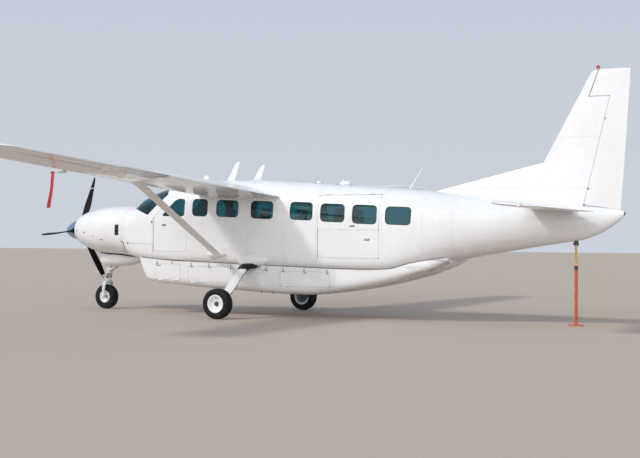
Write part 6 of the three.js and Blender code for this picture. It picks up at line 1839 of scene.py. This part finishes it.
def make_cabin():
    for side, word in ((-0.34, "left"), (0.34, "right")):
        make_seat("crew_seat_" + word, 3.35, side, 0.42, "crew_seats")
    for k, x in enumerate(SEAT_XS, 1):
        make_seat(f"seat_row_{k}_single", x, SINGLE_Y, 0.42, "passenger_seats")
        make_seat(f"seat_row_{k}_double", x, DOUBLE_Y, 0.66, "passenger_seats")
    rails = bmesh.new()
    for x0, x1, ys in ((3.10, 3.62, (-0.47, -0.21, 0.21, 0.47)), (4.05, 7.10, (-0.59, -0.33, 0.14, 0.60))):
        for y in ys:
            block(x0, x1, y - 0.020, y + 0.020, FLOOR_TOP + 0.0003, FLOOR_TOP + 0.010, rails)
            for edge in (-1, 1):
                block(x0, x1, y + edge * 0.010, y + edge * 0.020, FLOOR_TOP + 0.010, FLOOR_TOP + 0.018, rails)
    add("seat_rails", rails, "steel", slot="seat_leather")
    board = common(body_part(2.12, 9.03, 0.0455, 0.2, 64), block(2.0, 9.2, -1, 1, 1.12, FLOOR_TOP))
    add("cabin_floor_board", board, "carpet", "cabin_floor")
    plate = block(7.26, 8.70, -0.57, 0.57, FLOOR_TOP - 0.01, FLOOR_TOP + 0.004)
    for k in range(7):
        for y in (-0.45, -0.15, 0.15, 0.45):
            turned_body([(0, 0.004), (0.018, 0.004), (0.016, 0.0065), (0, 0.0065)], at(7.40 + 0.20 * k, y, FLOOR_TOP),
                        (0, 0, 1), 20, plate)
    add("cargo_floor_plate", plate, "steel")
    wall = common(body_part(9.00, 9.02, WALL + 0.0006, 0.1), block(8.9, 9.2, -1, 1, FLOOR_TOP + 0.0003, 3))
    add("rear_bulkhead_panel", wall, "lining", "rear_bulkhead", slot="cabin_grey")
    ribs = bmesh.new()
    for y in (-0.36, 0.0, 0.36):
        block(8.985, 9.00, y - 0.012, y + 0.012, FLOOR_TOP + 0.05, 2.30, ribs)
    add("rear_bulkhead_ribs", ribs, "lining", slot="cabin_grey")


def make_panel():
    side_view = [(2.66, 1.55), (2.80, 1.55), (2.76, 2.03), (2.76, 2.08), (2.66, 2.10)]
    board = common(body_part(2.66, 2.84, WALL + 0.0006, 0.05), prism(side_view, -0.74, 0.74))
    add("panel_board", board, "panel", "instrument_panel", slot="cabin_grey")
    shade = common(body_part(2.60, 2.90, WALL + 0.0006, 0.05), prism(
        rounded([(2.655, 2.065), (2.84, 2.045), (2.86, 2.072), (2.66, 2.105)], 0.012, 4), -0.74, 0.74))
    add("panel_shade", shade, "black", slot="cabin_grey")
    lean = Vector((-0.04, 0, 0.48)).normalized()
    normal = Vector((0.48, 0, 0.04)).normalized()

    def plate(y0, y1, z0, z1, out, bm):
        corners = [at(2.80, y, 1.55) + lean * (z - 1.55) for y, z in ((y0, z0), (y1, z0), (y1, z1), (y0, z1))]
        return loft([[p + normal * d for p in corners] for d in (-0.004, out)], bm)

    bezels, glass, dials, knobs = bmesh.new(), bmesh.new(), bmesh.new(), bmesh.new()
    for y in (-0.42, 0.0, 0.42):
        plate(y - 0.135, y + 0.135, 1.80, 2.00, 0.008, bezels)
        plate(y - 0.112, y + 0.112, 1.815, 1.985, 0.0095, glass)
        for k in range(8):
            foot = at(2.80, y - 0.105 + 0.03 * k, 1.55) + lean * 0.238
            rod(foot + normal * 0.006, foot + normal * 0.016, 0.006, sides=16, bm=knobs)
    for y in (-0.64, -0.22, 0.22, 0.64):
        for z in (1.74, 1.85, 1.95):
            foot = at(2.80, y, 1.55) + lean * (z - 1.55)
            turned_body([(0, -0.002), (0.040, -0.002), (0.040, 0.008), (0.034, 0.009), (0.032, 0.004), (0, 0.004)],
                        foot, normal, 32, dials)
    for k in range(26):
        foot = at(2.80, -0.66 + 0.053 * k, 1.55) + lean * 0.09
        rod(foot, foot + normal * 0.022, 0.004, 0.003, 10, knobs)
    for name, bm, finish in (("panel_bezels", bezels, "black"), ("panel_screens", glass, "screen"),
                             ("panel_dials", dials, "black"), ("panel_knobs", knobs, "steel")):
        add(name, bm, finish, slot="cabin_grey")
    quadrant = prism(rounded([(2.80, 1.50), (3.00, 1.46), (3.02, 1.60), (2.93, 1.68), (2.78, 1.72)], 0.03, 4),
                     -0.10, 0.10)
    add("lever_quadrant", quadrant, "panel", slot="cabin_grey")
    levers = bmesh.new()
    for y in (-0.05, 0.0, 0.05):
        rod(at(2.92, y, 1.64), at(2.94, y, 1.78), 0.005, sides=12, bm=levers)
        rod(at(2.94, y - 0.014, 1.785), at(2.94, y + 0.014, 1.785), 0.013, sides=16, bm=levers)
    for y in (-0.34, 0.34):
        rod(at(2.78, y, 1.72), at(2.99, y, 1.75), 0.013, sides=20, bm=levers)
        hose(curve_through([at(2.98, y - 0.13, 1.86), at(3.00, y - 0.14, 1.80), at(3.00, y - 0.11, 1.745),
                            at(2.99, y, 1.75), at(3.00, y + 0.11, 1.745), at(3.00, y + 0.14, 1.80),
                            at(2.98, y + 0.13, 1.86)], 6), 0.013, levers)
    add("levers_and_yokes", levers, "black", slot="cabin_grey")


make_doors()
make_pod_fittings()
make_cowl_fittings()
make_engine()
make_windshield()
make_cabin()
make_panel()

# CAD nodes that still show would be painted white
for cad_object in nodes.values():
    cad_object.data.materials.clear()
    cad_object.data.materials.append(FINISHES["plain"])


# Floor, sky and lights
FLOOR_TONE = (0.47, 0.385, 0.315)


def make_stage():
    bm = bmesh.new()
    bmesh.ops.create_grid(bm, x_segments=1, y_segments=1, size=120.0)
    mesh = bpy.data.meshes.new("floor")
    bm.to_mesh(mesh)
    bm.free()
    floor = bpy.data.objects.new("floor", mesh)
    bpy.context.scene.collection.objects.link(floor)
    ground = Finish("studio_floor", FLOOR_TONE, 0.8)
    ground.color(mixed(ground.tree, ground.noise(0.6, 3.0), tuple(c * 0.97 for c in FLOOR_TONE), FLOOR_TONE))
    mesh.materials.append(ground.material)

    world = bpy.data.worlds.new("studio")
    bpy.context.scene.world = world
    world.use_nodes = True
    bpy.context.scene.view_settings.view_transform = "Standard"
    tree = world.node_tree
    back = tree.nodes["Background"]
    direction = node(tree, "ShaderNodeTexCoord").outputs["Generated"]
    height = node(tree, "ShaderNodeSeparateXYZ", {0: direction}).outputs[2]
    sky = mixed(tree, span(tree, height, 0.0, 0.6), (0.74, 0.80, 0.88), (0.60, 0.70, 0.86))
    tree.links.new(sky, back.inputs["Color"])
    back.inputs["Strength"].default_value = 0.80

    def lamp(name, kind, energy, place, target, **settings):
        data = bpy.data.lights.new(name, kind)
        data.energy = energy
        for key, value in settings.items():
            setattr(data, key, value)
        made = bpy.data.objects.new(name, data)
        made.location = place
        made.rotation_euler = (Vector(target) - Vector(place)).to_track_quat("-Z", "Y").to_euler()
        bpy.context.scene.collection.objects.link(made)

    lamp("key", "SUN", 1.6, (-14, -16, 20), (0, 0, 1), angle=math.radians(8), color=(1.0, 0.97, 0.92))
    lamp("fill", "SUN", 1.85, (6, -22, 4), (0, 0, 1), angle=math.radians(90))


make_stage()
